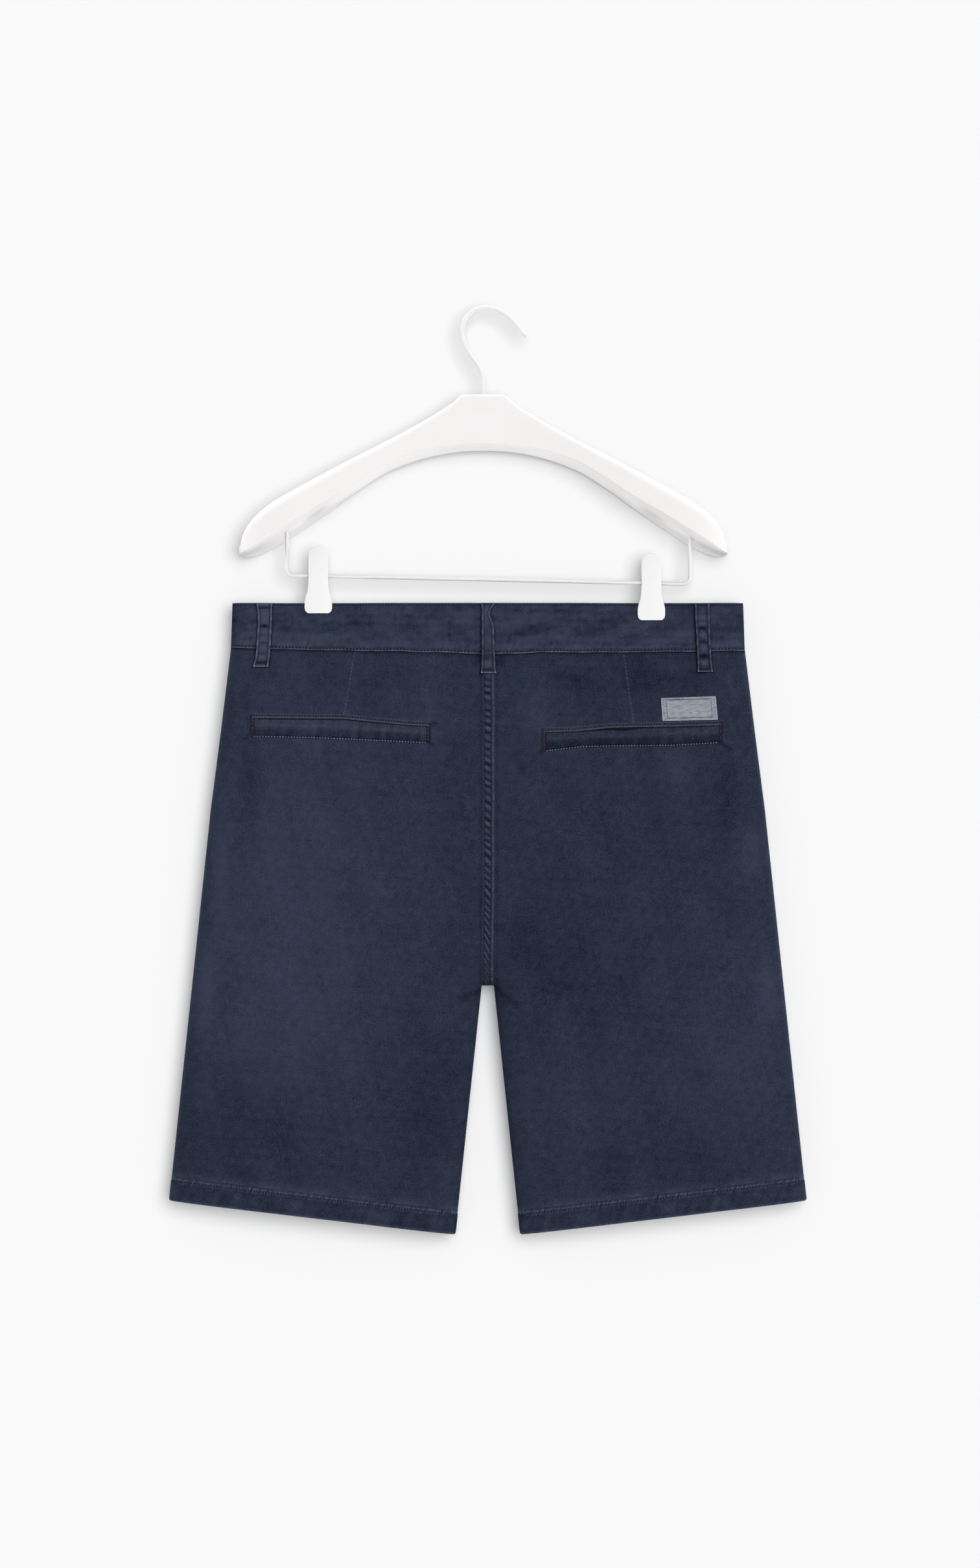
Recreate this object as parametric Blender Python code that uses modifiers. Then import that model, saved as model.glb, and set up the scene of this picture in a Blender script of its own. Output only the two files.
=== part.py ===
# Bermuda shorts in washed navy cotton twill, hung flat by two clips from a white contoured hanger.
# Metres, +Z up. The origin is where the hook bears, under the top of its wire. The back of the shorts faces -Y,
# and their left side, as worn, is at -X. All sizes below are millimetres. "drop" is a distance below the top
# edge of the waistband, or below the hook's bearing for the hanger, and "x" on the shorts is from their centre.

import math
from collections import namedtuple

import bmesh
import bpy
from mathutils import Matrix, Vector

MM = 0.001
sharp_angle = 50.0        # degrees, past which an edge of a hard piece is not shaded smooth

# Where things hang
waist_z = -254.4          # top edge of the waistband
shorts_x = 1.5            # centre seam of the shorts
hanger_x = -2.0           # shank of the hook and middle of the hanger

# Cloth
panel_thick = 1.2         # one layer of washed twill with its seam allowances
hem_thick = 2.0           # the turned-up hem
band_thick = 2.4          # outer band, stiffening and inner band
loop_thick = 1.8
welt_thick = 1.2
label_thick = 0.8
gap = 0.3                 # between pieces at a seam, and under a piece that lies on another

# Outline of the shorts, seen from the back
Side = namedtuple("Side", "drop half_width")
side_seam = [
    Side(0.0, 220.6),
    Side(40.0, 222.0),
    Side(109.0, 230.4),
    Side(178.6, 239.4),
    Side(515.8, 275.2),
]
crotch_drop = 330.4
crotch_half = 5.2         # the gap between the legs starts this wide, flat across the top
hem_inner_drop = 545.2
hem_inner_half = 28.1
hem_outer_drop = 515.8
hem_height = 17.5

# The waist seam sags towards the centre back
Seam = namedtuple("Seam", "x back front")
waist_seam = [
    Seam(-222.0, 38.1, 38.1),
    Seam(-113.0, 41.4, 39.2),
    Seam(0.0, 44.2, 40.0),
    Seam(110.0, 42.8, 40.8),
    Seam(222.0, 41.2, 41.2),
]

# How far each layer stands off the middle plane, and how far in from the side fold it takes to get there
Filling = namedtuple("Filling", "drop half_depth side_reach")
filling = [
    Filling(0.0, 6.0, 14.0),
    Filling(42.0, 7.0, 18.0),
    Filling(90.0, 9.8, 36.0),
    Filling(150.0, 12.0, 52.0),
    Filling(250.0, 13.0, 58.0),
    Filling(340.0, 12.5, 58.0),
    Filling(450.0, 11.5, 52.0),
    Filling(545.0, 11.0, 50.0),
]
leg_reach = 55.0          # the same for the inner leg fold and the crotch

# Largest soft folds: a ridge is positive, a trough negative. Each runs from top to bottom and leans sideways.
Fold = namedtuple("Fold", "face x lean top bottom half_width rise")
BACK, FRONT = -1, 1
folds = [
    Fold(BACK, -140.0, -20.0, 110.0, 440.0, 75.0, 1.5),    # fuller left seat and thigh
    Fold(BACK, 0.0, 0.0, 60.0, 320.0, 38.0, -1.6),         # valley along the centre back
    Fold(BACK, 40.0, 50.0, 240.0, 400.0, 30.0, -2.0),      # trough from the crotch into the right thigh
    Fold(BACK, -52.0, 10.0, 400.0, 540.0, 32.0, -1.6),     # trough down the inside of the left leg
    Fold(BACK, -206.0, -8.0, 110.0, 210.0, 16.0, -1.0),    # drag under the outer end of the left pocket
    Fold(BACK, 190.0, 30.0, 300.0, 500.0, 45.0, 1.1),      # ridge down the outside of the right leg
    Fold(FRONT, -125.0, -15.0, 90.0, 430.0, 70.0, 1.2),
    Fold(FRONT, 130.0, 20.0, 120.0, 470.0, 65.0, 1.4),
    Fold(FRONT, 32.0, 46.0, 250.0, 420.0, 28.0, -1.8),
    Fold(FRONT, -36.0, -50.0, 260.0, 400.0, 30.0, -1.5),
]

# The clips pinch the two layers of waistband together
Grip = namedtuple("Grip", "x hanger_drop")
grips = [Grip(-146.3, 231.0), Grip(141.2, 237.0)]   # hanger_drop is the bar's height at that clip
grip_half_depth = 1.55
grip_flat = 14.0          # flat under the jaws, either side of the clip's middle
grip_fade = 56.0
grip_spread = 0.25        # how fast the pinch widens on its way down
grip_drop = 18.0
grip_drop_fade = 135.0

# Fly: the left front laps over the right
fly_drop = 176.0
fly_edge_fade = 8.0
fly_lap = 3.0
fly_raise = 1.5
fly_raise_width = 46.0
lap_slope_share = 0.65    # of the raised width, over which it rises
band_raise = 2.7
band_raise_width = 80.0
band_under = 26.0         # the button end of the waistband goes this far under the other

# Pieces that lie on the shorts. A loop's lean is how far its foot lies from its top, sideways.
Loop = namedtuple("Loop", "name face x lean width foot")
loops = [
    Loop("loop_back_left", BACK, -192.6, -3.2, 13.2, 55.0),
    Loop("loop_back_centre", BACK, 0.2, 0.4, 12.2, 60.6),
    Loop("loop_back_right", BACK, 184.4, 3.2, 12.8, 59.2),
    Loop("loop_front_left", FRONT, -104.0, 0.0, 12.8, 57.0),
    Loop("loop_front_right", FRONT, 102.0, 0.0, 12.8, 58.0),
]
loop_bow = 0.9            # how far a loop stands off the band midway

Patch = namedtuple("Patch", "name left left_drop right right_drop height")
welts = [
    Patch("welt_left", -201.5, 98.9, -51.0, 106.0, 16.2),
    Patch("welt_right", 50.5, 111.5, 198.5, 104.2, 15.8),
]
label = Patch("label", 150.0, 82.4, 196.6, 80.8, 19.8)

button_x = -13.0
button_drop = 20.5
button_radius = 8.0
button_thick = 2.6
button_rim = 0.7
zip_half_width = 11.5
zip_top = 47.0
zip_thick = 1.2

# Hanger. Its body is the same each side of the shank, so reach is a distance from there.
Arm = namedtuple("Arm", "reach top edge bottom thick")
arm = [
    Arm(0.0, 73.5, 116.1, 122.2, 15.0),
    Arm(16.8, 73.6, 116.6, 122.8, 15.0),
    Arm(20.5, 75.4, 117.0, 123.1, 15.2),
    Arm(24.5, 79.4, 117.6, 123.6, 15.6),
    Arm(36.0, 87.5, 118.9, 125.3, 16.4),
    Arm(50.7, 96.5, 121.3, 128.6, 17.6),
    Arm(79.2, 112.0, 130.6, 138.6, 21.0),
    Arm(107.8, 126.6, 147.6, 155.8, 25.0),
    Arm(128.0, 137.2, 161.0, 170.4, 28.0),
    Arm(150.6, 149.4, 174.0, 186.0, 31.0),
    Arm(170.2, 160.2, 186.0, 199.0, 33.0),
    Arm(184.0, 168.6, 194.6, 207.2, 32.0),
    Arm(196.0, 178.4, 202.4, 212.4, 28.0),
    Arm(204.4, 188.8, 208.0, 214.2, 21.0),
    Arm(208.8, 197.6, 210.2, 213.6, 14.0),
    Arm(210.6, 205.0, 210.9, 212.2, 7.0),
]
arm_rounding = 0.30       # of the thickness, along the top edges

Bend = namedtuple("Bend", "x z")
hook_path = [             # centre line of the wire, from the shank's foot to the tip
    Bend(-2.0, -79.0), Bend(-2.2, -66.0), Bend(-3.4, -56.5), Bend(-7.0, -48.6), Bend(-11.6, -42.2),
    Bend(-15.8, -35.4), Bend(-19.0, -27.6), Bend(-20.3, -19.2), Bend(-19.0, -11.4), Bend(-15.6, -5.6),
    Bend(-10.4, -1.2), Bend(-5.2, 1.0), Bend(0.0, 1.7), Bend(5.4, 1.0), Bend(11.0, -0.9),
    Bend(18.8, -5.6), Bend(25.0, -11.8), Bend(30.2, -18.2), Bend(34.2, -22.8),
]
hook_radius = 1.7
bar_radius = 1.6
bar_left = -172.0
bar_right = 176.1
bar_left_drop = 230.4
bar_right_drop = 237.7
bar_bend = 6.0
wire_clearance = 0.45     # between a wire and the hole that it sits in
wire_hole_depth = 9.0

Jaw = namedtuple("Jaw", "rise half_width")
jaw_side = [              # right-hand edge of a clip's plate, from its top; rise is above the bar
    Jaw(25.8, 0.0), Jaw(25.2, 3.1), Jaw(23.4, 5.9), Jaw(20.7, 7.8), Jaw(17.6, 8.4), Jaw(-3.0, 8.4),
    Jaw(-9.0, 8.7), Jaw(-14.0, 9.5), Jaw(-18.0, 10.9), Jaw(-22.0, 11.8), Jaw(-27.5, 11.9),
    Jaw(-30.4, 11.2), Jaw(-32.0, 9.3), Jaw(-32.2, 8.2),
]
jaw_thick = 2.2
barrel_half_length = 6.0
barrel_steps = 20


def between(rows, column, at):
    """Straight from row to row of a table, read at a value of its first column."""
    for near, far in zip(rows, rows[1:]):
        if at <= far[0]:
            break
    share = min(max((at - near[0]) / (far[0] - near[0]), 0.0), 1.0)
    return getattr(near, column) * (1 - share) + getattr(far, column) * share


def through(rows, column, at):
    """A smooth curve through the rows of a table, level at its two ends."""
    at = min(max(at, rows[0][0]), rows[-1][0])
    last = len(rows) - 2
    i = next(k for k in range(last + 1) if at <= rows[k + 1][0])
    value = [getattr(row, column) for row in rows]
    span = rows[i + 1][0] - rows[i][0]
    share = (at - rows[i][0]) / span
    slope_near = (value[i + 1] - value[i - 1]) / (rows[i + 1][0] - rows[i - 1][0]) if i else 0.0
    slope_far = (value[i + 2] - value[i]) / (rows[i + 2][0] - rows[i][0]) if i < last else 0.0
    eased = share * share * (3 - 2 * share)
    bend = slope_near * share * (1 - share) ** 2 - slope_far * share * share * (1 - share)
    return value[i] * (1 - eased) + value[i + 1] * eased + bend * span


def ease(share):
    share = min(max(share, 0.0), 1.0)
    return share * share * (3 - 2 * share)


def spread(first, last, count):
    return [first + (last - first) * i / count for i in range(count + 1)]


def half_width(drop):
    return between(side_seam, "half_width", drop)


def gap_half(drop):
    """Half the gap between the legs, at and below the crotch."""
    share = max(drop - crotch_drop, 0.0) / (hem_inner_drop - crotch_drop)
    return crotch_half + (hem_inner_half - crotch_half) * share


def rounded(distance, reach):
    """A quarter round: 0 at the fold, 1 from its reach on."""
    near = 1 - min(max(distance, 0.0) / reach, 1.0)
    return math.sqrt(1 - near * near)


def from_legs(x, drop, inset):
    """How far a point lies from the open gap between the legs."""
    beside = abs(x) - gap_half(drop) - inset
    above = crotch_drop - inset - drop
    return math.hypot(max(beside, 0.0), above) if above > 0 else beside


def grip_at(x, drop):
    """1 where a clip's jaws hold the waistband, fading out round them."""
    nearest = min(abs(x - grip.x) for grip in grips)
    sideways = 1 - ease((nearest - grip_flat) / (grip_fade + grip_spread * drop))
    down = 1 - ease((drop - grip_drop) / grip_drop_fade)
    return sideways * down


def fold_rise(x, drop, face):
    total = 0.0
    for fold in folds:
        if fold.face == face and fold.top < drop < fold.bottom:
            share = (drop - fold.top) / (fold.bottom - fold.top)
            sideways = (x - fold.x - fold.lean * share) / fold.half_width
            total += fold.rise * math.sin(math.pi * share) ** 2 * math.exp(-sideways * sideways)
    return total


def half_depth(x, drop, face, inset):
    """How far the middle of a layer stands off the middle plane. inset is half that layer's thickness."""
    from_side = half_width(drop) - inset - abs(x)
    at_side = rounded(from_side, through(filling, "side_reach", drop))
    at_legs = rounded(from_legs(x, drop, inset), leg_reach)
    depth = (through(filling, "half_depth", drop) + fold_rise(x, drop, face)) * at_side * at_legs
    grip = grip_at(x, drop)
    return depth * (1 - grip) + min(depth, grip_half_depth) * grip


def panel_depth(x, drop, face):
    """The same for the middle of a panel, which stays clear of its neighbours at the side and leg seams."""
    return half_depth(x, drop, face, panel_thick / 2) + gap


def lap_raise(x, drop, full, width):
    """How far the left front is lifted over the right, across that width and to just below the fly."""
    sideways = ease((x + width) / (lap_slope_share * width))
    return full * sideways * (1 - ease((drop - fly_drop) / fly_edge_fade - 2))


def place(x, drop, y):
    """A point of the shorts in the part's own frame, in metres."""
    return Vector((shorts_x + x, y, waist_z - drop)) * MM


def colour(name, rgb, roughness, metallic=0.0):
    material = bpy.data.materials.new(name)
    material.use_nodes = True
    surface = material.node_tree.nodes["Principled BSDF"]
    surface.inputs["Base Color"].default_value = (*rgb, 1.0)
    surface.inputs["Roughness"].default_value = roughness
    surface.inputs["Metallic"].default_value = metallic
    material.diffuse_color = (*rgb, 1.0)
    return material


def add_object(name, data, collection, material):
    obj = bpy.data.objects.new(name, data)
    obj.data.materials.append(material)
    collection.objects.link(obj)
    return obj


def add_mesh(name, bm, collection, material):
    bmesh.ops.recalc_face_normals(bm, faces=bm.faces)
    mesh = bpy.data.meshes.new(name)
    bm.to_mesh(mesh)
    bm.free()
    mesh.shade_smooth()
    mesh.set_sharp_from_angle(angle=math.radians(sharp_angle))
    return add_object(name, mesh, collection, material)


def cloth(name, columns, rows, point, collection, material, thick, kept=None, fullness=None):
    """A piece of cloth: a grid with each point put in its place, some of it cut away, then given its thickness.
    point(column, row) gives a place, kept(column, row) says whether a point is part of the piece, and
    fullness(column, row) is the share of the thickness that it has there."""
    bm = bmesh.new()
    bmesh.ops.create_grid(bm, x_segments=columns, y_segments=rows, size=1.0)
    weight = bm.verts.layers.deform.verify()
    cut = []
    for vert in bm.verts:
        column = round((vert.co.x + 1) / 2 * columns)
        row = round((1 - vert.co.y) / 2 * rows)
        if kept and not kept(column, row):
            cut.append(vert)
            continue
        vert.co = point(column, row)
        if fullness:
            vert[weight][0] = fullness(column, row)
    bmesh.ops.delete(bm, geom=cut, context="VERTS")
    mesh = bpy.data.meshes.new(name)
    bm.to_mesh(mesh)
    bm.free()
    mesh.shade_smooth()
    obj = add_object(name, mesh, collection, material)
    shell = obj.modifiers.new("thickness", "SOLIDIFY")
    shell.thickness = thick * MM
    shell.offset = 0.0
    if fullness:
        obj.vertex_groups.new(name="fullness")
        shell.vertex_group = "fullness"
    return obj


# The panels' columns run from the centre seam to a leg line, which ends at the crotch and becomes the inner
# leg, and on to the side. Their spacing follows the round of each fold, by these angles from the fold.
fold_angles = [0.0, 5.0, 18.0, 37.0, 60.0, 90.0]
seat_columns = 3
flat_columns = 7
leg_line_slope = 0.16     # how fast the leg line leaves the centre seam above the crotch
band_columns = 16
band_rows = 3
fold_steps = [1 - math.cos(math.radians(angle)) for angle in fold_angles]
panel_columns = seat_columns + 2 * (len(fold_steps) - 1) + flat_columns
hem_step = 0.6            # the height over which the panel thickens into its hem
seat_rows = spread(waist_seam[2].back, crotch_drop - leg_reach, 8)
crotch_rows = [crotch_drop - panel_thick / 2 - leg_reach * step for step in reversed(fold_steps[:-1])]
leg_rows = spread(crotch_drop + 22.0, hem_inner_drop - hem_height - hem_step, 4)
hem_rows = [hem_inner_drop - hem_height, hem_inner_drop]
panel_rows = seat_rows + crotch_rows + leg_rows + hem_rows
crotch_row = len(seat_rows) + len(crotch_rows) - 1


def leg_line(drop):
    """Where the leg line lies: from the waist down to the crotch, then along the inner leg."""
    above = max(crotch_drop - panel_thick / 2 - drop, 0.0)
    return gap_half(drop) + panel_thick / 2 + above * leg_line_slope


def centre_edge(drop, hand, face):
    """Where a panel's centre edge lies, from the middle towards its own side."""
    if face == FRONT and hand < 0:
        return gap / 2 - (fly_lap + gap / 2) * (1 - ease((drop - fly_drop) / fly_edge_fade))
    return gap / 2


def across(column, drop, hand, face):
    """How far from the middle a column lies at that drop, and its share of the way from leg line to side."""
    start = leg_line(drop)
    end = half_width(drop) - panel_thick / 2
    if column <= seat_columns:
        edge = centre_edge(drop, hand, face)
        return edge + (start - edge) * column / seat_columns, 0.0
    near_side = through(filling, "side_reach", drop)
    roundness = ease((drop - crotch_drop + 2 * leg_reach) / leg_reach)
    steps = len(fold_steps) - 1
    i = column - seat_columns
    if i <= steps:
        even = leg_reach * i / steps
        out = start + even * (1 - roundness) + leg_reach * fold_steps[i] * roundness
    elif i < steps + flat_columns:
        first, last = start + leg_reach, end - near_side
        out = first + (last - first) * (i - steps) / flat_columns
    else:
        out = end - near_side * fold_steps[panel_columns - column]
    return out, (out - start) / (end - start)


def panel_point(column, row, hand, face):
    """Rows follow the waist seam at the top and the slanted hem at the foot."""
    leg_drop = panel_rows[row]
    share_down = (leg_drop - panel_rows[0]) / (hem_inner_drop - panel_rows[0])
    out, share = across(column, leg_drop, hand, face)
    if row == 0:
        drop = between(waist_seam, "back" if face == BACK else "front", hand * out) + gap
    else:
        top = between(waist_seam, "back", hand * half_width(0.0)) + gap
        side_drop = top + (hem_outer_drop - top) * share_down
        drop = leg_drop + (side_drop - leg_drop) * share
        out = across(column, drop, hand, face)[0] if column > seat_columns else out
    x = hand * out
    depth = panel_depth(x, drop, face)
    if face == FRONT and hand < 0:
        depth += lap_raise(x, drop, fly_raise, fly_raise_width)
    return place(x, drop, face * depth)


def panel(name, hand, face, collection, material):
    """A front or back. hand is -1 for the garment's left. The grid's corner between the legs is cut away."""
    hem_row = len(panel_rows) - len(hem_rows)
    return cloth(
        name, panel_columns, len(panel_rows) - 1,
        lambda column, row: panel_point(column, row, hand, face),
        collection, material, hem_thick,
        kept=lambda column, row: row <= crotch_row or column >= seat_columns,
        fullness=lambda column, row: 1.0 if row >= hem_row else panel_thick / hem_thick,
    )


def waistband(name, hand, collection, material):
    """Half of the band, from the centre back round the side to the front, where the left laps over the right."""
    flat = spread(0.0, 1.0, band_columns)
    turn = fold_steps[1:-1]
    steps = [(BACK, "flat", share) for share in flat]
    steps += [(BACK, "fold", step) for step in reversed(turn)]
    steps += [(FRONT, "fold", step) for step in [0.0, *turn]]
    steps += [(FRONT, "flat", share) for share in reversed(flat)]
    front_end = -fly_lap if hand < 0 else -band_under

    def reach_out(kind, face, share, drop):
        side = half_width(drop) - band_thick / 2
        reach = through(filling, "side_reach", drop)
        if kind == "fold":
            return side - reach * share
        start = gap / 2 if face == BACK else front_end
        return start + (side - reach - start) * share

    def point(column, row):
        face, kind, share = steps[column]
        seam_x = hand * reach_out(kind, face, share, 0.0)
        drop = between(waist_seam, "back" if face == BACK else "front", seam_x) * row / band_rows
        x = hand * reach_out(kind, face, share, drop)
        depth = half_depth(x, drop, face, band_thick / 2)
        if face == FRONT and hand < 0:
            depth += lap_raise(x, drop, band_raise, band_raise_width)
        return place(x, drop, face * depth)

    return cloth(name, len(steps) - 1, band_rows, point, collection, material, band_thick)


def belt_loop(loop, collection, material):
    """A strip sewn at the waistband's top edge and below its seam, standing a little off between."""
    rows = 9
    clear_of_band = waist_seam[2].back + 2
    on_band = (band_thick + loop_thick) / 2 + gap
    on_panel = (panel_thick + loop_thick) / 2 + 1.5 * gap

    def point(column, row):
        share = row / rows
        drop = gap + (loop.foot - gap) * share
        x = loop.x + loop.lean * share + loop.width * (column / 2 - 0.5)
        past_seam = ease((drop - clear_of_band) / (loop.foot - clear_of_band))
        over_band = half_depth(x, drop, loop.face, band_thick / 2) + on_band
        over_panel = panel_depth(x, drop, loop.face) + on_panel
        bow = loop_bow * math.sin(math.pi * share) if 0 < row < rows else 0.0
        return place(x, drop, loop.face * (over_band * (1 - past_seam) + over_panel * past_seam + bow))

    return cloth(loop.name, 2, rows, point, collection, material, loop_thick)


def patch(piece, columns, rows, thick, collection, material):
    """A strip or label that lies on a back panel."""
    lift = (panel_thick + thick) / 2 + 2 * gap

    def point(column, row):
        share = column / columns
        x = piece.left + (piece.right - piece.left) * share
        top = piece.left_drop + (piece.right_drop - piece.left_drop) * share
        drop = top + piece.height * row / rows
        return place(x, drop, BACK * (panel_depth(x, drop, BACK) + lift))

    return cloth(piece.name, columns, rows, point, collection, material, thick)


def fly_zip(collection, material):
    """The closed zip's tapes, behind the lap."""
    columns, rows = 2, 8

    def point(column, row):
        x = zip_half_width * (column - 1)
        drop = zip_top + (fly_drop - zip_top) * row / rows
        behind = (panel_thick + zip_thick) / 2 + gap
        return place(x, drop, panel_depth(x, drop, FRONT) - behind)

    return cloth("fly_zip", columns, rows, point, collection, material, zip_thick)


def button(collection, material):
    """A flat button on the lapped end of the waistband."""
    surface = half_depth(button_x, button_drop, FRONT, band_thick / 2)
    surface += lap_raise(button_x, button_drop, band_raise, band_raise_width) + band_thick / 2 + 1.5 * gap
    wide = button_radius * MM
    bm = bmesh.new()
    bmesh.ops.create_cone(bm, cap_ends=True, segments=28, radius1=wide, radius2=wide, depth=button_thick * MM)
    bmesh.ops.rotate(bm, matrix=Matrix.Rotation(math.pi / 2, 3, "X"), verts=bm.verts)
    obj = add_mesh("button", bm, collection, material)
    obj.location = place(button_x, button_drop, surface + button_thick / 2)
    rim = obj.modifiers.new("rim", "BEVEL")
    rim.width = button_rim * MM
    rim.segments = 2
    return obj


def smooth_path(points, count):
    """Points read from a smooth curve through the named bends."""
    path = []
    for i in range(len(points) - 1):
        before, near = points[max(i - 1, 0)], points[i]
        far, after = points[i + 1], points[min(i + 2, len(points) - 1)]
        for k in range(count):
            t = k / count
            weights = (
                -0.5 * t + t * t - 0.5 * t ** 3,
                1 - 2.5 * t * t + 1.5 * t ** 3,
                0.5 * t + 2 * t * t - 1.5 * t ** 3,
                -0.5 * t * t + 0.5 * t ** 3,
            )
            path.append(sum((w * p for w, p in zip(weights, (before, near, far, after))), Vector()))
    return path + [points[-1]]


def wire(name, path, radius, collection, material):
    """A round wire along a path, with its ends closed."""
    curve = bpy.data.curves.new(name, "CURVE")
    curve.dimensions = "3D"
    curve.bevel_depth = radius * MM
    curve.bevel_resolution = 2
    curve.use_fill_caps = True
    spline = curve.splines.new("POLY")
    spline.points.add(len(path) - 1)
    for spot, at in zip(spline.points, path):
        spot.co = (*(at * MM), 1.0)
    return add_object(name, curve, collection, material)


def bar_path():
    """Down from the left arm, round a bend, along to the right and up again."""
    def corner(x, drop, way):
        centre = Vector((x + way * bar_bend, 0.0, -drop + bar_bend))
        turn = [math.radians(angle) for angle in (0, 22.5, 45, 67.5, 90)]
        return [centre + bar_bend * Vector((-way * math.cos(a), 0.0, -math.sin(a))) for a in turn]

    top_left = Vector((bar_left, 0.0, wire_hole_depth - 2 - underside(bar_left)))
    top_right = Vector((bar_right, 0.0, wire_hole_depth - 2 - underside(bar_right)))
    left = corner(bar_left, bar_left_drop, 1)
    right = corner(bar_right, bar_right_drop, -1)
    return [top_left, *left, *reversed(right), top_right]


def underside(x):
    """Drop of the middle of the hanger's slanted underside."""
    reach = abs(x - hanger_x)
    return (between(arm, "edge", reach) + between(arm, "bottom", reach)) / 2


def arm_section(row):
    """Outline across one place of the hanger: the underside slants down from its front edge to its back."""
    half = row.thick / 2
    soft = min(row.thick * arm_rounding, (row.edge - row.top) * 0.7)
    corner = soft * (1 - math.sqrt(0.5))
    left_round = [(-half, -row.top - soft), (-half + corner, -row.top - corner), (-half + soft, -row.top)]
    right_round = [(-y, z) for y, z in reversed(left_round)]
    return [(-half, -row.edge), *left_round, *right_round, (half, -row.bottom)]


def hanger_body(collection, cutters, material):
    """A loft through the sections of both arms, with holes for the three wires."""
    bm = bmesh.new()
    stations = [(-row.reach, row) for row in reversed(arm)] + [(row.reach, row) for row in arm[1:]]
    rings = []
    for reach, row in stations:
        rings.append([bm.verts.new(Vector((hanger_x + reach, y, z)) * MM) for y, z in arm_section(row)])
    for near, far in zip(rings, rings[1:]):
        for i in range(len(near)):
            j = (i + 1) % len(near)
            bm.faces.new((near[i], near[j], far[j], far[i]))
    bm.faces.new(rings[0])
    bm.faces.new(rings[-1])
    body = add_mesh("hanger_body", bm, collection, material)
    for x, drop, radius in (
        (hanger_x, arm[0].top, hook_radius),
        (bar_left, underside(bar_left), bar_radius),
        (bar_right, underside(bar_right), bar_radius),
    ):
        hole = bmesh.new()
        wide = (radius + wire_clearance) * MM
        depth = 2 * wire_hole_depth * MM
        bmesh.ops.create_cone(hole, cap_ends=True, segments=16, radius1=wide, radius2=wide, depth=depth)
        cutter = add_mesh("wire_hole", hole, cutters, material)
        cutter.location = Vector((x, 0.0, -drop)) * MM
        cutter.hide_render = True
        cutter.display_type = "WIRE"
        drilled = body.modifiers.new("wire hole", "BOOLEAN")
        drilled.object = cutter
        drilled.operation = "DIFFERENCE"
    return body


def clip_plate(name, grip, face, collection, material):
    """One jaw: a flat plate, rounded at its top and flared at the mouth."""
    right = [(jaw.half_width, jaw.rise) for jaw in jaw_side]
    outline = right + [(-x, z) for x, z in reversed(right[1:])]
    curve = bpy.data.curves.new(name, "CURVE")
    curve.dimensions = "2D"
    curve.fill_mode = "BOTH"
    curve.extrude = jaw_thick / 2 * MM
    spline = curve.splines.new("POLY")
    spline.points.add(len(outline) - 1)
    for spot, (x, z) in zip(spline.points, outline):
        spot.co = (x * MM, z * MM, 0.0, 1.0)
    spline.use_cyclic_u = True
    obj = add_object(name, curve, collection, material)
    stand_off = grip_half_depth + band_thick / 2 + gap + jaw_thick / 2
    obj.rotation_euler = (math.pi / 2, 0.0, 0.0)
    obj.location = Vector((shorts_x + grip.x, face * stand_off, -grip.hanger_drop)) * MM
    return obj


def clip_barrel(name, grip, collection, material):
    """The tube on the bar that the two jaws turn on."""
    inner = bar_radius + wire_clearance
    outer = grip_half_depth + band_thick / 2
    half = barrel_half_length
    bm = bmesh.new()
    corners = [(outer, half), (outer, -half), (inner, -half), (inner, half)]
    verts = [bm.verts.new(Vector((radius, 0.0, along)) * MM) for radius, along in corners]
    for i in range(len(verts)):
        bm.edges.new((verts[i], verts[(i + 1) % len(verts)]))
    mesh = bpy.data.meshes.new(name)
    bm.to_mesh(mesh)
    bm.free()
    obj = add_object(name, mesh, collection, material)
    tube = obj.modifiers.new("turned", "SCREW")
    tube.steps = tube.render_steps = barrel_steps
    tube.use_merge_vertices = True
    tube.merge_threshold = 0.0001
    obj.rotation_euler = (0.0, math.pi / 2, 0.0)
    obj.location = Vector((shorts_x + grip.x, 0.0, -grip.hanger_drop)) * MM
    return obj


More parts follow.
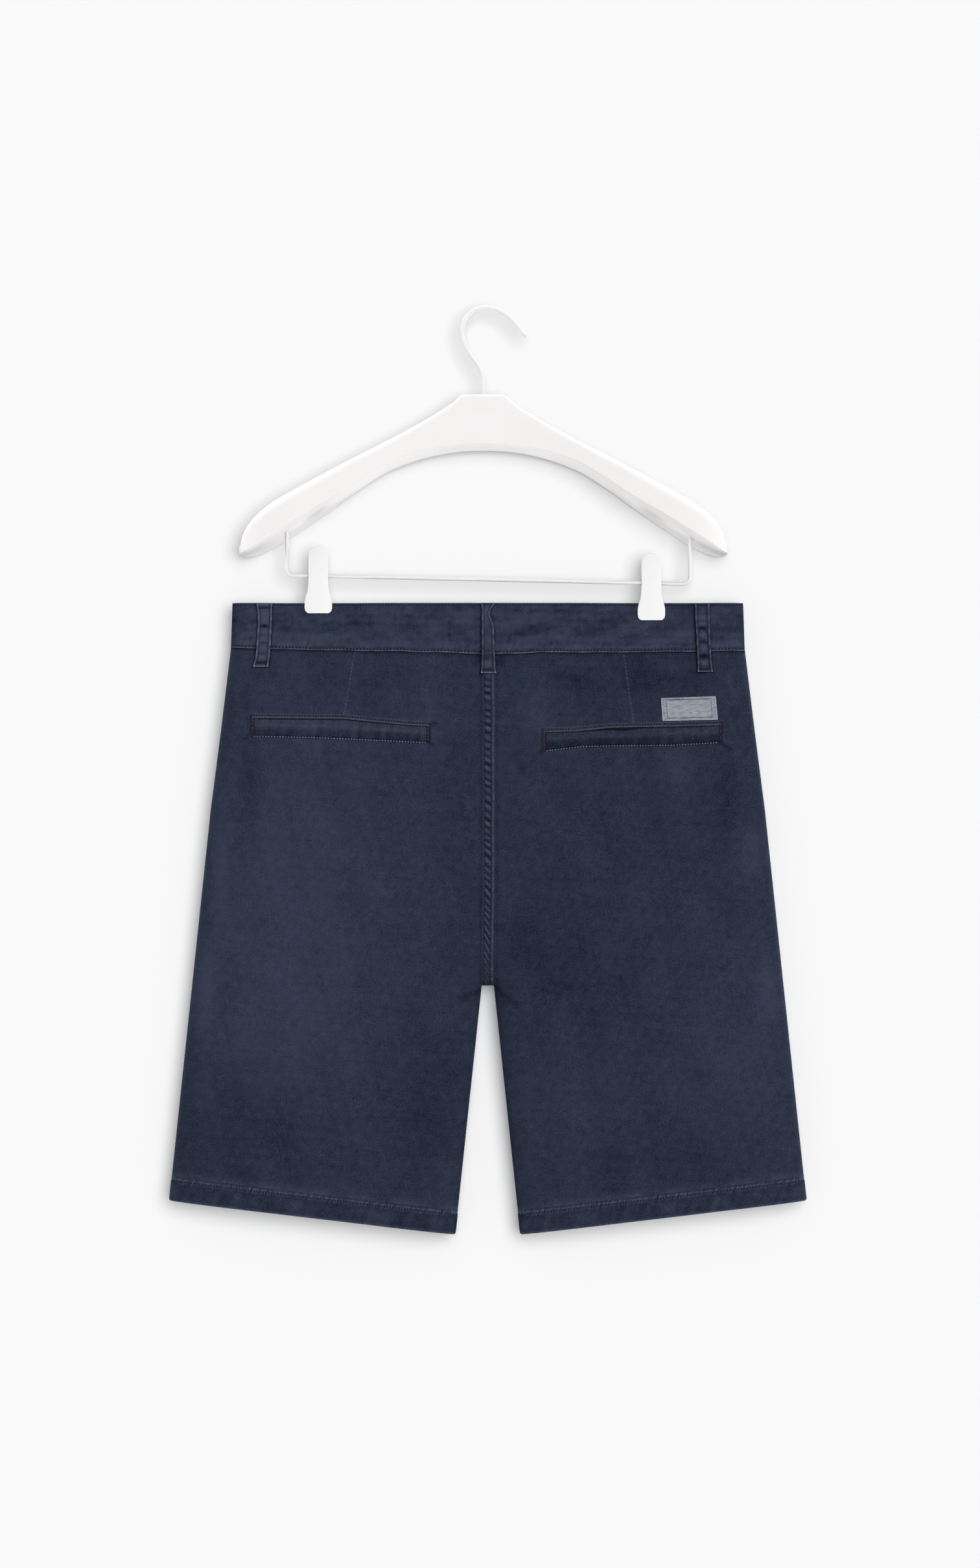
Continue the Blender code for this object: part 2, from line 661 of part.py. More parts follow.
def build():
    for obj in list(bpy.data.objects):
        bpy.data.objects.remove(obj)
    scene = bpy.context.scene
    shorts = bpy.data.collections.new("bermuda_shorts")
    cutters = bpy.data.collections.new("cutters")
    scene.collection.children.link(shorts)
    scene.collection.children.link(cutters)

    twill = colour("navy_twill", (0.027, 0.033, 0.063), 0.9)
    label_cloth = colour("label_cloth", (0.33, 0.35, 0.39), 0.85)
    tape = colour("zip_tape", (0.02, 0.025, 0.05), 0.8)
    horn = colour("button_resin", (0.035, 0.035, 0.05), 0.4)
    lacquer = colour("white_lacquer", (0.87, 0.87, 0.86), 0.45)
    white_steel = colour("white_coated_steel", (0.88, 0.88, 0.87), 0.4)
    white_plastic = colour("white_plastic", (0.86, 0.86, 0.86), 0.5)

    for side, hand in (("left", -1), ("right", 1)):
        panel(f"back_{side}", hand, BACK, shorts, twill)
        panel(f"front_{side}", hand, FRONT, shorts, twill)
        waistband(f"waistband_{side}", hand, shorts, twill)
    for loop in loops:
        belt_loop(loop, shorts, twill)
    for welt in welts:
        patch(welt, 12, 2, welt_thick, shorts, twill)
    patch(label, 4, 2, label_thick, shorts, label_cloth)
    fly_zip(shorts, tape)
    button(shorts, horn)

    hanger_body(shorts, cutters, lacquer)
    hook = smooth_path([Vector((bend.x, 0.0, bend.z)) for bend in hook_path], 2)
    wire("hanger_hook", hook, hook_radius, shorts, white_steel)
    wire("clip_bar", bar_path(), bar_radius, shorts, white_steel)
    for side, grip in zip(("left", "right"), grips):
        clip_plate(f"clip_{side}_back_jaw", grip, BACK, shorts, white_plastic)
        clip_plate(f"clip_{side}_front_jaw", grip, FRONT, shorts, white_plastic)
        clip_barrel(f"clip_{side}_barrel", grip, shorts, white_plastic)


build()
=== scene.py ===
import math
import random

import bmesh
import bpy
import numpy as np
from mathutils import Matrix, Vector


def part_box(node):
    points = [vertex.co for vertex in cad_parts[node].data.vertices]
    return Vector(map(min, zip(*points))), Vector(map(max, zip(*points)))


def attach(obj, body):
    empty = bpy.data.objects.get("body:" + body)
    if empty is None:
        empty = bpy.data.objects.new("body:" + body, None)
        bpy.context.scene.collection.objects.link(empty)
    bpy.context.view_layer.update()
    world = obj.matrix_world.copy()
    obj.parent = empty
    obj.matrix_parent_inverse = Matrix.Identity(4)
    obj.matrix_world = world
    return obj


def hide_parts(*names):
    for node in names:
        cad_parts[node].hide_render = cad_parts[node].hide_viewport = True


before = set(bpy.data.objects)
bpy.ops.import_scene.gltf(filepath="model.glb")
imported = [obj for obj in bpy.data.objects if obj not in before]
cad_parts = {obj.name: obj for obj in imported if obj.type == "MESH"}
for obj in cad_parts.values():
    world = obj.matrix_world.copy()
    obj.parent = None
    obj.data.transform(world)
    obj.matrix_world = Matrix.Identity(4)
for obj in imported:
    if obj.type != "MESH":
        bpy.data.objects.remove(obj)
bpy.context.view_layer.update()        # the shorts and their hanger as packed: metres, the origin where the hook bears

mm = 0.001
back, front = -1, 1      # which face of the shorts: the back looks to -Y
left, right = -1, 1      # as worn, which is also as seen from behind
bothFaces = ((back, "back"), (front, "front"))
bothSides = ((left, "left"), (right, "right"))

# Everything on the shorts is placed in mm by x, from their centre seam, and drop, below the waistband's top.
# Both come from the frame.
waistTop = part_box("waistband_left")[1][2] / mm
centreX = (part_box("back_left")[0][0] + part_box("back_right")[1][0]) / 2 / mm

cut = {                  # the shorts' outline as they hang, mm
    "sideDrop": [0.0, 40.0, 109.0, 178.6, 515.8],
    "sideHalf": [220.6, 222.0, 230.4, 239.4, 275.2],
    "seamX": [-222.0, -186.0, -113.0, -74.0, -10.0, 11.0, 45.0, 110.0, 222.0],
    "seamBack": [38.6, 39.7, 41.3, 41.9, 43.8, 44.3, 42.8, 42.7, 41.2],
    "seamFront": [38.1, 38.4, 39.2, 39.5, 40.0, 40.0, 40.3, 40.8, 41.2],
    "crotchDrop": 330.4,
    "crotchHalf": 5.2,
    "hemInnerDrop": 545.2,
    "hemInnerHalf": 28.1,
    "hemOuterDrop": 515.8,
    "hemHeight": 17.5,
    "legReach": 55.0,
    "fillDrop": [0.0, 42.0, 90.0, 150.0, 250.0, 340.0, 450.0, 545.0],
    "fillDepth": [6.0, 7.0, 9.8, 12.0, 13.0, 12.5, 11.5, 11.0],
    "fillReach": [14.0, 18.0, 36.0, 52.0, 58.0, 58.0, 52.0, 50.0],
}
grip = {                 # where the clips pinch the waistband
    "x": [-146.3, 141.2],
    "halfDepth": 1.55,
    "flat": 14.0,
    "fade": 56.0,
    "spread": 0.25,
    "drop": 18.0,
    "dropFade": 135.0,
}
fly = {                  # the left front laps over the right
    "drop": 176.0,
    "fade": 8.0,
    "lap": 3.0,
    "raise": 1.5,
    "width": 46.0,
    "bandRaise": 2.7,
    "bandWidth": 80.0,
    "slopeShare": 0.65,
    "bandUnder": 26.0,
}
cloth = {                # thicknesses and gaps, mm
    "panel": 1.2,
    "hem": 2.0,
    "band": 2.4,
    "loop": 1.8,
    "welt": 0.9,
    "label": 0.8,
    "gap": 0.3,
}

# Soft creases: face, from x and drop, to x and drop, half width, rise. A trough has a negative rise.
creases = [
    (back, -140, 110, -160, 440, 75, 1.5),
    (back, 0, 60, 0, 320, 38, -1.6),
    (back, 40, 240, 90, 400, 30, -2.0),
    (back, -52, 400, -42, 540, 32, -1.6),
    (back, -206, 105, -214, 215, 13, -1.5),
    (back, 190, 300, 220, 500, 45, 1.1),
    (back, 148, 172, 190, 112, 9, 1.0),
    (back, 204, 112, 213, 232, 10, -1.3),
    (back, -58, 66, -44, 132, 10, 0.8),
    (back, 40, 70, 48, 140, 11, 0.7),
    (back, -8, 322, -74, 250, 9, 0.8),
    (back, -4, 330, -96, 296, 10, -0.8),
    (back, 8, 320, 62, 240, 9, 0.7),
    (back, 6, 328, 84, 352, 12, -0.9),
    (back, -230, 300, -236, 430, 10, 0.9),
    (back, 232, 270, 244, 400, 11, 1.1),
    (back, -120, 470, -90, 528, 14, 0.6),
    (back, -226, 420, -170, 512, 16, -0.7),
    (back, 70, 440, 96, 528, 16, -0.6),
    (back, 150, 450, 176, 522, 18, 0.7),
    (back, 120, 200, 60, 300, 16, -0.5),
    (back, -120, 140, -70, 240, 18, -0.5),
    (front, -125, 90, -140, 430, 70, 1.2),
    (front, 130, 120, 150, 470, 65, 1.4),
    (front, 32, 250, 78, 420, 28, -1.8),
    (front, -36, 260, -86, 400, 30, -1.5),
    (front, -60, 70, -100, 170, 13, -1.0),
    (front, 70, 64, 104, 158, 12, -0.9),
    (front, 6, 326, 92, 300, 11, 0.9),
    (front, -6, 328, -80, 282, 10, -0.8),
    (front, 4, 322, 60, 238, 9, -0.7),
    (front, -190, 120, -214, 250, 12, 0.9),
    (front, 196, 130, 214, 236, 13, -0.9),
    (front, -140, 440, -116, 522, 15, 0.7),
    (front, 120, 460, 96, 530, 14, -0.7),
    (front, 226, 330, 244, 470, 13, 0.8),
    (front, -232, 360, -222, 470, 12, -0.7),
]


def eased(share):
    share = np.clip(share, 0.0, 1.0)
    return share * share * (3 - 2 * share)


def bump(distance, reach):
    return np.exp(-(distance / reach) ** 2)


def smoothCurve(column, at):      # a smooth curve through a column of the cut's filling, level at its ends
    places = np.array(cut["fillDrop"])
    values = np.array(cut[column])
    at = np.clip(at, places[0], places[-1])
    near = np.clip(np.searchsorted(places, at) - 1, 0, len(places) - 2)
    slope = np.zeros(len(places))
    slope[1:-1] = (values[2:] - values[:-2]) / (places[2:] - places[:-2])
    span = places[near + 1] - places[near]
    share = (at - places[near]) / span
    bend = slope[near] * share * (1 - share) ** 2 - slope[near + 1] * share * share * (1 - share)
    return values[near] + (values[near + 1] - values[near]) * eased(share) + bend * span


def waves(along, wavelength, seed):       # uneven waves along a line, about -1 to 1
    draw = random.Random(seed)
    total = 0.0
    for _ in range(5):
        size = wavelength * draw.uniform(0.65, 1.7)
        total = total + np.sin(along * 2 * math.pi / size + draw.uniform(0, 6.28))
    return total / 2.7


def ripple(x, drop, wavelength, seed):    # the same over a surface
    draw = random.Random(seed)
    total = 0.0
    for _ in range(8):
        angle = draw.uniform(0, math.pi)
        size = wavelength * draw.uniform(0.6, 1.6)
        along = x * math.cos(angle) + drop * math.sin(angle)
        total = total + np.sin(along * 2 * math.pi / size + draw.uniform(0, 6.28))
    return total / 3.4


def halfWidth(drop):
    return np.interp(drop, cut["sideDrop"], cut["sideHalf"])


def seamDrop(x, face):    # the waist seam wanders a little, as sewn by hand and eye
    column = "seamBack" if face == back else "seamFront"
    return np.interp(x, cut["seamX"], cut[column]) + 0.2 * waves(x, 44, 17 + face)


def hemEdge(x):
    reach = [cut["hemInnerHalf"], cut["sideHalf"][-1]]
    return np.interp(np.abs(x), reach, [cut["hemInnerDrop"], cut["hemOuterDrop"]])


def legGap(drop):
    share = np.maximum(drop - cut["crotchDrop"], 0) / (cut["hemInnerDrop"] - cut["crotchDrop"])
    return cut["crotchHalf"] + (cut["hemInnerHalf"] - cut["crotchHalf"]) * share


def quarterRound(distance, reach):
    near = 1 - np.clip(distance / reach, 0.0, 1.0)
    return np.sqrt(1 - near * near)


def fromLegs(x, drop, inset):     # how far a point lies from the open gap between the legs
    beside = np.abs(x) - legGap(drop) - inset
    above = cut["crotchDrop"] - inset - drop
    return np.where(above > 0, np.hypot(np.maximum(beside, 0), above), beside)


def gripShare(x, drop):
    nearest = np.minimum(np.abs(x - grip["x"][0]), np.abs(x - grip["x"][1]))
    sideways = 1 - eased((nearest - grip["flat"]) / (grip["fade"] + grip["spread"] * drop))
    return sideways * (1 - eased((drop - grip["drop"]) / grip["dropFade"]))


def fromLine(x, drop, x0, drop0, x1, drop1):      # the share of the way along a line, and mm aside from it
    runX, runDrop = x1 - x0, drop1 - drop0
    length = math.hypot(runX, runDrop)
    along = ((x - x0) * runX + (drop - drop0) * runDrop) / length ** 2
    return along, ((x - x0) * runDrop - (drop - drop0) * runX) / length


def creaseRise(x, drop, face):
    total = 0.0
    for side, x0, drop0, x1, drop1, wide, rise in creases:
        if side == face:
            along, aside = fromLine(x, drop, x0, drop0, x1, drop1)
            total = total + rise * np.sin(math.pi * np.clip(along, 0, 1)) ** 2 * bump(aside, wide)
    return total


def edgeShares(x, drop, inset):
    side = quarterRound(halfWidth(drop) - inset - np.abs(x), smoothCurve("fillReach", drop))
    return side * quarterRound(fromLegs(x, drop, inset), cut["legReach"])


def slackShare(x, drop, thick):   # 1 where the cloth hangs free, 0 where it is gripped or turns an edge
    free = np.minimum(edgeShares(x, drop, thick / 2) * 1.6, 1.0)
    return free * (1 - gripShare(x, drop))


def halfDepth(x, drop, face, inset):      # how far the middle of a layer stands off the middle plane
    slack = ripple(x, drop, 95, 11 + face) * 0.45 + ripple(x, drop, 30, 21 + face) * 0.12
    depth = smoothCurve("fillDepth", drop) + creaseRise(x, drop, face) + slack * eased((drop - 45) / 60)
    depth = depth * edgeShares(x, drop, inset)
    held = gripShare(x, drop)
    return depth * (1 - held) + np.minimum(depth, grip["halfDepth"]) * held


def lapRaise(x, drop, full, width):
    sideways = eased((x + width) / (fly["slopeShare"] * width))
    return full * sideways * (1 - eased((drop - fly["drop"]) / fly["fade"] - 2))


def place(x, drop, y):            # mm on the shorts to mm in the part's own frame
    return np.stack(np.broadcast_arrays(centreX + x, y, waistTop - drop), axis=-1)


# Back pockets: the line of the mouth and of the welt's foot, and how far the mouth gapes, by x
pockets = [
    {
        "name": "left",
        "side": left,
        "ends": (-202.0, -51.0),
        "mouthX": [-202.0, -160.0, -124.7, -74.3, -51.0],
        "mouth": [99.2, 99.6, 99.9, 105.0, 106.4],
        "footX": [-202.0, -146.0, -74.3, -51.0],
        "foot": [114.6, 115.9, 119.1, 120.1],
        "gapeX": [-202.0, -196.0, -178.0, -158.0, -124.0, -60.0, -51.0],
        "gape": [0.5, 0.9, 1.1, 1.0, 0.9, 0.6, 0.5],
        "tacks": (-202.9, -51.2),
        "dart": [(-115.6, 42.4), (-124.4, 96.6)],
    },
    {
        "name": "right",
        "side": right,
        "ends": (50.0, 200.0),
        "mouthX": [50.0, 78.6, 107.0, 125.0, 160.0, 200.0],
        "mouth": [111.6, 110.6, 107.6, 107.2, 106.6, 105.4],
        "footX": [50.0, 82.5, 122.2, 157.5, 200.0],
        "foot": [127.2, 123.4, 122.6, 122.4, 120.0],
        "gapeX": [50.0, 78.0, 100.0, 117.0, 126.0, 136.0, 194.0, 200.0],
        "gape": [0.4, 0.7, 1.5, 3.0, 1.9, 0.9, 0.8, 0.5],
        "tacks": (48.4, 200.9),
        "dart": [(117.0, 45.0), (125.2, 104.0)],
    },
]
fell = {                 # the centre back seam: the right back folds over the left and is sewn down twice
    "x": [-4.9, -4.4, -4.2, -3.8, -3.4, -3.0, -2.5, -1.8, 1.6, 2.3, 2.9, 3.4, 4.0, 4.6, 5.2, 5.7, 6.3, 7.0],
    "lift": [-0.5, -0.1, 0.6, 0.8, 0.6, 0.25, 0.7, 0.85, 0.85,
             0.7, 0.25, 0.45, 0.75, 0.9, 0.8, 0.5, 0.0, -0.4],
    "wearAndHighlight": [0.0, 0.0, 0.1, 0.14, 0.07, 0.0, 0.0, 0.0, 0.0,
             0.0, 0.0, 0.07, 0.18, 0.28, 0.22, 0.07, 0.0, 0.0],
    # painted shade: in the two stitch grooves and beside the folded edges
    "shade": [0.3, 0.25, 0.0, 0.1, 0.45, 0.75, 0.35, 0.05, 0.05,
              0.35, 0.75, 0.45, 0.05, 0.0, 0.0, 0.25, 0.5, 0.2],
    "sewn": (-3.0, 2.9),
    "first": 57.5,
    "last": 330.0,
    "pitch": 6.7,        # of the ropes that washing pulls into it, and how far each one leans, by drop
    "rope": 0.32,
    "leanDrop": [60.0, 150.0, 235.0, 325.0],
    "lean": [0.25, 0.45, 0.8, 2.1],
}
# Stitches from the edge that they hold, mm. For the hem, it is the ridge from its stitches.
stitchDrop = {"bandTop": 1.3, "bandSeam": 1.7, "hem": -1.5}


def pocketLine(pocket, line, x):          # a pocket's mouth, foot or gape at x
    return np.interp(x, pocket[line + "X"], pocket[line])


def inPocket(x, drop, pocket, margin):    # 1 within a pocket's frame, and margin beyond it
    first, last = pocket["ends"]
    below, above = drop - pocketLine(pocket, "mouth", x), pocketLine(pocket, "foot", x) - drop
    inside = np.minimum(np.minimum(x - first, last - x), np.minimum(below, above))
    return eased((inside + margin) / 1.6)


def hemLine(x):                   # where the hem's turned edge is sewn
    return hemEdge(x) - cut["hemHeight"]


def pastHem(x, drop):
    return drop - hemLine(x)


def panelThick(x, drop):          # the hem is turned up twice
    return cloth["panel"] + (cloth["hem"] - cloth["panel"]) * eased((pastHem(x, drop) + 0.9) / 1.4)


def panelOut(x, drop, face, side):        # a panel's outer surface
    depth = halfDepth(x, drop, face, cloth["panel"] / 2) + cloth["gap"]
    below = drop - seamDrop(x, face)
    fromHem = pastHem(x, drop)
    fine = 0.22 * waves(x + 0.3 * below, 9, 31 + face) * bump(below, 10) - 0.35 * bump(below, 1.6)
    fine = fine + 0.26 * waves(x + 0.5 * fromHem, 11, 41 + side + 2 * face) * bump(fromHem - 3, 9)
    fine = fine + 0.42 * bump(fromHem - stitchDrop["hem"], 1.3) - 0.5 * bump(fromHem, 0.8)
    if face == back:
        for pocket in pockets:
            fine = fine - 0.75 * inPocket(x, drop, pocket, 2.0)
            middle = (pocket["ends"][0] + pocket["ends"][1]) / 2
            fromEnd = np.abs(x - middle) - (pocket["ends"][1] - middle)
            beside = bump(fromEnd, 9) * bump(drop - 110, 16)
            fine = fine + 0.35 * waves(drop + 0.4 * x, 9, 51) * beside
        fine = fine - 0.4 * bump(np.abs(x) - 10, 6) * bump(below - 5, 9)
    else:
        seam = np.abs(x) * (drop > fly["drop"]) + 99 * (drop <= fly["drop"])
        fine = fine - 0.4 * bump(seam, 1.6)
    fine = fine + 0.16 * waves(drop + 0.6 * x, 13, 61 + side) * bump(halfWidth(drop) - np.abs(x) - 7, 7)
    depth = depth + fine * slackShare(x, drop, cloth["panel"])
    if face == front and side == left:
        depth = depth + lapRaise(x, drop, fly["raise"], fly["width"])
    return depth + cloth["panel"] / 2


def panelMid(x, drop, face, side):
    return panelOut(x, drop, face, side) - panelThick(x, drop) / 2


def bandMid(x, drop, face, side):         # the middle of the waistband
    up = seamDrop(x, face) - drop
    depth = halfDepth(x, drop, face, cloth["band"] / 2)
    fine = 0.35 + 0.17 * waves(x - 0.2 * drop, 7, 71 + face) * bump(up - 5, 12)
    fine = fine + 0.14 * waves(x + 0.35 * drop, 16, 81 + face) + 0.2 * ripple(x, drop, 34, 91 + face)
    fine = fine - 0.34 * bump(up - stitchDrop["bandSeam"], 0.8) + 0.2 * bump(up, 0.9)
    fine = fine - 0.3 * bump(drop - stitchDrop["bandTop"], 0.8)
    depth = depth + fine * slackShare(x, drop, cloth["band"])
    if face == front and side == left:
        depth = depth + lapRaise(x, drop, fly["bandRaise"], fly["bandWidth"])
    return depth


def sideOf(x, face):
    if face == back:
        return right if x > 0 else left
    return left if x < fly["lap"] else right


def panelFace(face, side):        # the outer surface of a panel, for what lies on it
    return lambda x, drop: panelOut(x, drop, face, side)


def bandFace(face, side):
    return lambda x, drop: bandMid(x, drop, face, side) + cloth["band"] / 2


# Washing's uneven fading, with painted light on bulges and painted shade in hollows: x, drop, half width, half height,
# paler or darker
fadeAndPaintedLightSpots = [
    (-175, 250, 72, 150, 0.25),
    (-74, 246, 60, 110, 0.03),
    (-175, 375, 70, 60, 0.14),
    (-200, 452, 62, 52, -0.16),
    (-50, 440, 34, 78, -0.18),
    (-34, 492, 14, 24, 0.14),
    (45, 300, 44, 52, -0.17),
    (98, 340, 40, 40, -0.1),
    (217, 400, 46, 86, 0.16),
    (229, 212, 12, 22, 0.34),
    (242, 328, 10, 34, 0.3),
    (161, 146, 14, 16, 0.24),
    (206, 165, 10, 46, -0.22),
    (-204, 150, 9, 48, -0.22),
    (-243, 330, 9, 44, 0.4),
    (-231, 230, 8, 60, 0.26),
    (-52, 92, 10, 32, 0.24),
    (44, 98, 12, 24, 0.2),
    (-8, 49, 5, 6, -0.3),
    (-24, 210, 18, 110, -0.08),
    (9, 50, 5, 6, -0.35),
    (127, 60, 66, 18, -0.14),
    (-120, 66, 60, 20, -0.06),
    (188, 480, 44, 36, -0.14),
    (115, 486, 30, 26, -0.12),
    (70, 432, 30, 40, 0.08),
    (120, 190, 90, 60, -0.06),
    (118, 76, 60, 30, -0.1),
    (-125, 108, 70, 5, 0.16),
    (175, 114, 24, 5, 0.2),
]

paintedCreaseLines = [            # painted light and shade along small creases and puckers behind: x, drop, to x, drop, half width, paler or darker
    (200, 120.5, 211, 128, 1.3, -0.5),
    (202, 117, 216, 124, 2.2, 0.2),
    (-52, 120.5, -45, 123, 1.3, -0.5),
    (-50, 106, -43, 103, 1.8, -0.5),
    (-205, 114, -212, 119, 1.6, -0.4),
    (49, 126, 44, 130, 1.6, -0.4),
    (52, 60, 84, 70, 3.5, -0.16),
    (60, 52, 104, 54, 3.0, 0.14),
    (150, 58, 172, 52, 3.0, 0.12),
    (140, 70, 166, 62, 3.0, -0.12),
    (22, 128, 34, 150, 3.5, -0.14),
    (-28, 120, -36, 150, 3.5, -0.12),
    (207, 60, 214, 92, 3.0, 0.18),
    (-196, 62, -214, 82, 3.5, -0.14),
    (0, 331, -30, 345, 3.0, -0.3),
    (4, 331, 30, 350, 3.0, -0.3),
]

bandSpots = [            # paler and darker spots on the waistband, behind
    (-175, 22, 9, 2.6, -0.55),
    (-123, 22.5, 22, 2.8, -0.3),
    (-102, 17.5, 12, 1.8, -0.3),
    (-65, 22, 8, 3.5, -0.25),
    (-33, 17, 1.0, 1.8, -0.9),
    (-33, 27.7, 1.0, 2.0, -0.9),
    (-32, 28, 26, 3, -0.22),
    (-164, 29, 17, 4, 0.22),
    (-17, 16, 9, 7, 0.42),
    (-113, 33, 5, 3, 0.3),
    (-88, 9, 20, 5, 0.16),
    (-206, 26, 9, 3, 0.25),
    (-213, 12, 6, 6, -0.2),
    (41, 14.4, 22, 4.5, 0.42),
    (28, 27, 8, 2.4, -0.5),
    (62, 21, 40, 20, -0.14),
    (62, 33, 20, 3.5, 0.2),
    (96, 24, 14, 3, -0.25),
    (150, 9, 16, 4, 0.15),
    (170, 30, 12, 4, 0.2),
    (206, 22, 9, 3, -0.3),
    (212, 33, 6, 4, 0.25),
]


def spotted(x, drop, face, spots):        # what a table of spots adds, turned round for the front
    turn = -1 if face == front else 1
    total = 0.0
    for spotX, spotDrop, wide, high, paler in spots:
        total = total + paler * bump(turn * x - spotX, wide) * bump(drop - spotDrop, high)
    return total


def fadeAndPaintedLightTone(x, drop, face):      # 0 darkest, 1 palest: uneven fading with painted light and shade from the spots and crease lines
    tone = 0.42 + 0.05 * ripple(x, drop, 48, 101 + face) + 0.05 * ripple(x, drop, 15, 111 + face)
    tone = tone + 0.045 * ripple(x, drop, 7.5, 121 + face)
    if face == front:
        return tone + 0.6 * spotted(x, drop, face, fadeAndPaintedLightSpots)
    tone = tone + spotted(x, drop, face, fadeAndPaintedLightSpots)
    for x0, drop0, x1, drop1, wide, paler in paintedCreaseLines:
        along, aside = fromLine(x, drop, x0, drop0, x1, drop1)
        ends = eased(along / 0.25 + 0.5) * (1 - eased((along - 0.7) / 0.3))
        tone = tone + paler * bump(aside, wide) * ends
    return tone


def panelMarks(x, drop, face, side):
    below = drop - seamDrop(x, face)
    fromHem = pastHem(x, drop)
    fromSide = halfWidth(drop) - np.abs(x)
    spread = np.clip(0.7 + 0.42 * waves(x, 30, 131 + side), 0.15, 1)
    wearAndHighlight = (0.3 if face == back else 0.5) * bump(fromHem - stitchDrop["hem"], 0.95) * spread
    wearAndHighlight = wearAndHighlight + 0.14 * bump(fromHem + 4, 4) * spread
    wearAndHighlight = wearAndHighlight + 0.08 * bump(fromHem - 9, 6) * np.clip(waves(x, 37, 132), 0, 1)
    wearAndHighlight = wearAndHighlight + 0.3 * bump(fromHem - cut["hemHeight"], 1.2) + 0.25 * bump(fromSide, 2.6)
    # painted shade: the waistband's shadow below its seam, the hem's stitch groove, round the sunk pocket frames,
    # beside the centre fold
    shade = 0.6 * bump(fromHem, 0.75) + 0.14 * bump(fromHem - 2, 1.5) + 0.75 * bump(below - 0.2, 1.7)
    if face == back:
        for pocket in pockets:
            shade = shade + 0.5 * inPocket(x, drop, pocket, 2.2)
        shade = shade + 0.3 * bump(np.abs(x - 1) - 7.0, 1.2) * (below > 16)
    tone = fadeAndPaintedLightTone(x, drop, face) + (0.1 * waves(x + 0.4 * drop, 12, 134) - 0.09) * eased(fromHem / 2)
    return {"fadeAndPaintedLight": tone, "wearAndHighlight": wearAndHighlight, "shade": shade}


def bandMarks(x, drop, face):
    up = seamDrop(x, face) - drop
    tone = fadeAndPaintedLightTone(x, drop, face) + 0.13 + 0.1 * eased((drop - 18) / 12)
    tone = tone + 0.17 * ripple(x, drop * 3.2, 34, 141) + 0.1 * ripple(x, drop * 2.2, 11, 145)
    tone = tone + 0.12 * waves(x + 0.3 * drop, 5.5, 142) * bump(up - 6, 8)
    tone = tone + 0.75 * spotted(x, drop, face, bandSpots)
    wearAndHighlight = (0.62 + 0.3 * waves(x, 19, 146)) * bump(up, 0.75)
    wearAndHighlight = wearAndHighlight + 0.4 * bump(drop, 0.6) + 0.08 * bump(up - 4.6, 1.5)
    # painted shade along the two sunk rows of stitches
    shade = 0.55 * bump(drop - stitchDrop["bandTop"], 0.9) + 0.55 * bump(up - stitchDrop["bandSeam"], 0.75)
    return {"fadeAndPaintedLight": tone, "wearAndHighlight": wearAndHighlight, "shade": shade}


def linear(hexColour):            # an sRGB hex colour as Blender's linear values
    parts = [int(hexColour[i:i + 2], 16) / 255 for i in (1, 3, 5)]
    return [c / 12.92 if c <= 0.04045 else ((c + 0.055) / 1.055) ** 2.4 for c in parts] + [1.0]


def addNode(tree, kind, inputs=None, **settings):     # a shader node, its settings, and its values or links
    made = tree.nodes.new("ShaderNode" + kind)
    for name, value in settings.items():
        setattr(made, name, value)
    for name, value in (inputs or {}).items():
        if isinstance(value, bpy.types.NodeSocket):
            tree.links.new(value, made.inputs[name])
        else:
            made.inputs[name].default_value = value
    return made


def newMaterial(name, **finish):
    material = bpy.data.materials.new(name)
    material.use_nodes = True
    tree = material.node_tree
    tree.nodes.clear()
    shader = addNode(tree, "BsdfPrincipled")
    for socket, value in finish.items():
        shader.inputs[socket.replace("_", " ")].default_value = value
    addNode(tree, "OutputMaterial", {"Surface": shader.outputs[0]})
    return material, tree, shader


twill = {
    "ribSpacing": 1.2,       # mm; the real ribs are nearer 0.8, drawn a little coarser so that they show
    "ribAngle": 62.0,
    "slubWidth": 0.9,        # mm, thicker and thinner yarns
    "slubLength": 14.0,
    "grain": 1.3,            # mm, fibres
    "lint": 0.6,
    "cloud": 7.0,            # mm, uneven fading
    "rub": 1.6,              # mm, where wear breaks up
    "deep": "#151b2b",
    "pale": "#3b4256",
    # pale worn cloth, also used as a painted highlight on ridges and folded edges
    "fadedAndHighlight": "#747e92",
    # painted shade: the colour that the shade attribute darkens the cloth towards
    "groove": "#060b1b",
    "warm": "#fff8fd",       # the dye has worn to faint warmer and cooler patches
    "cool": "#f5ffff",
    "patch": 4.0,
}


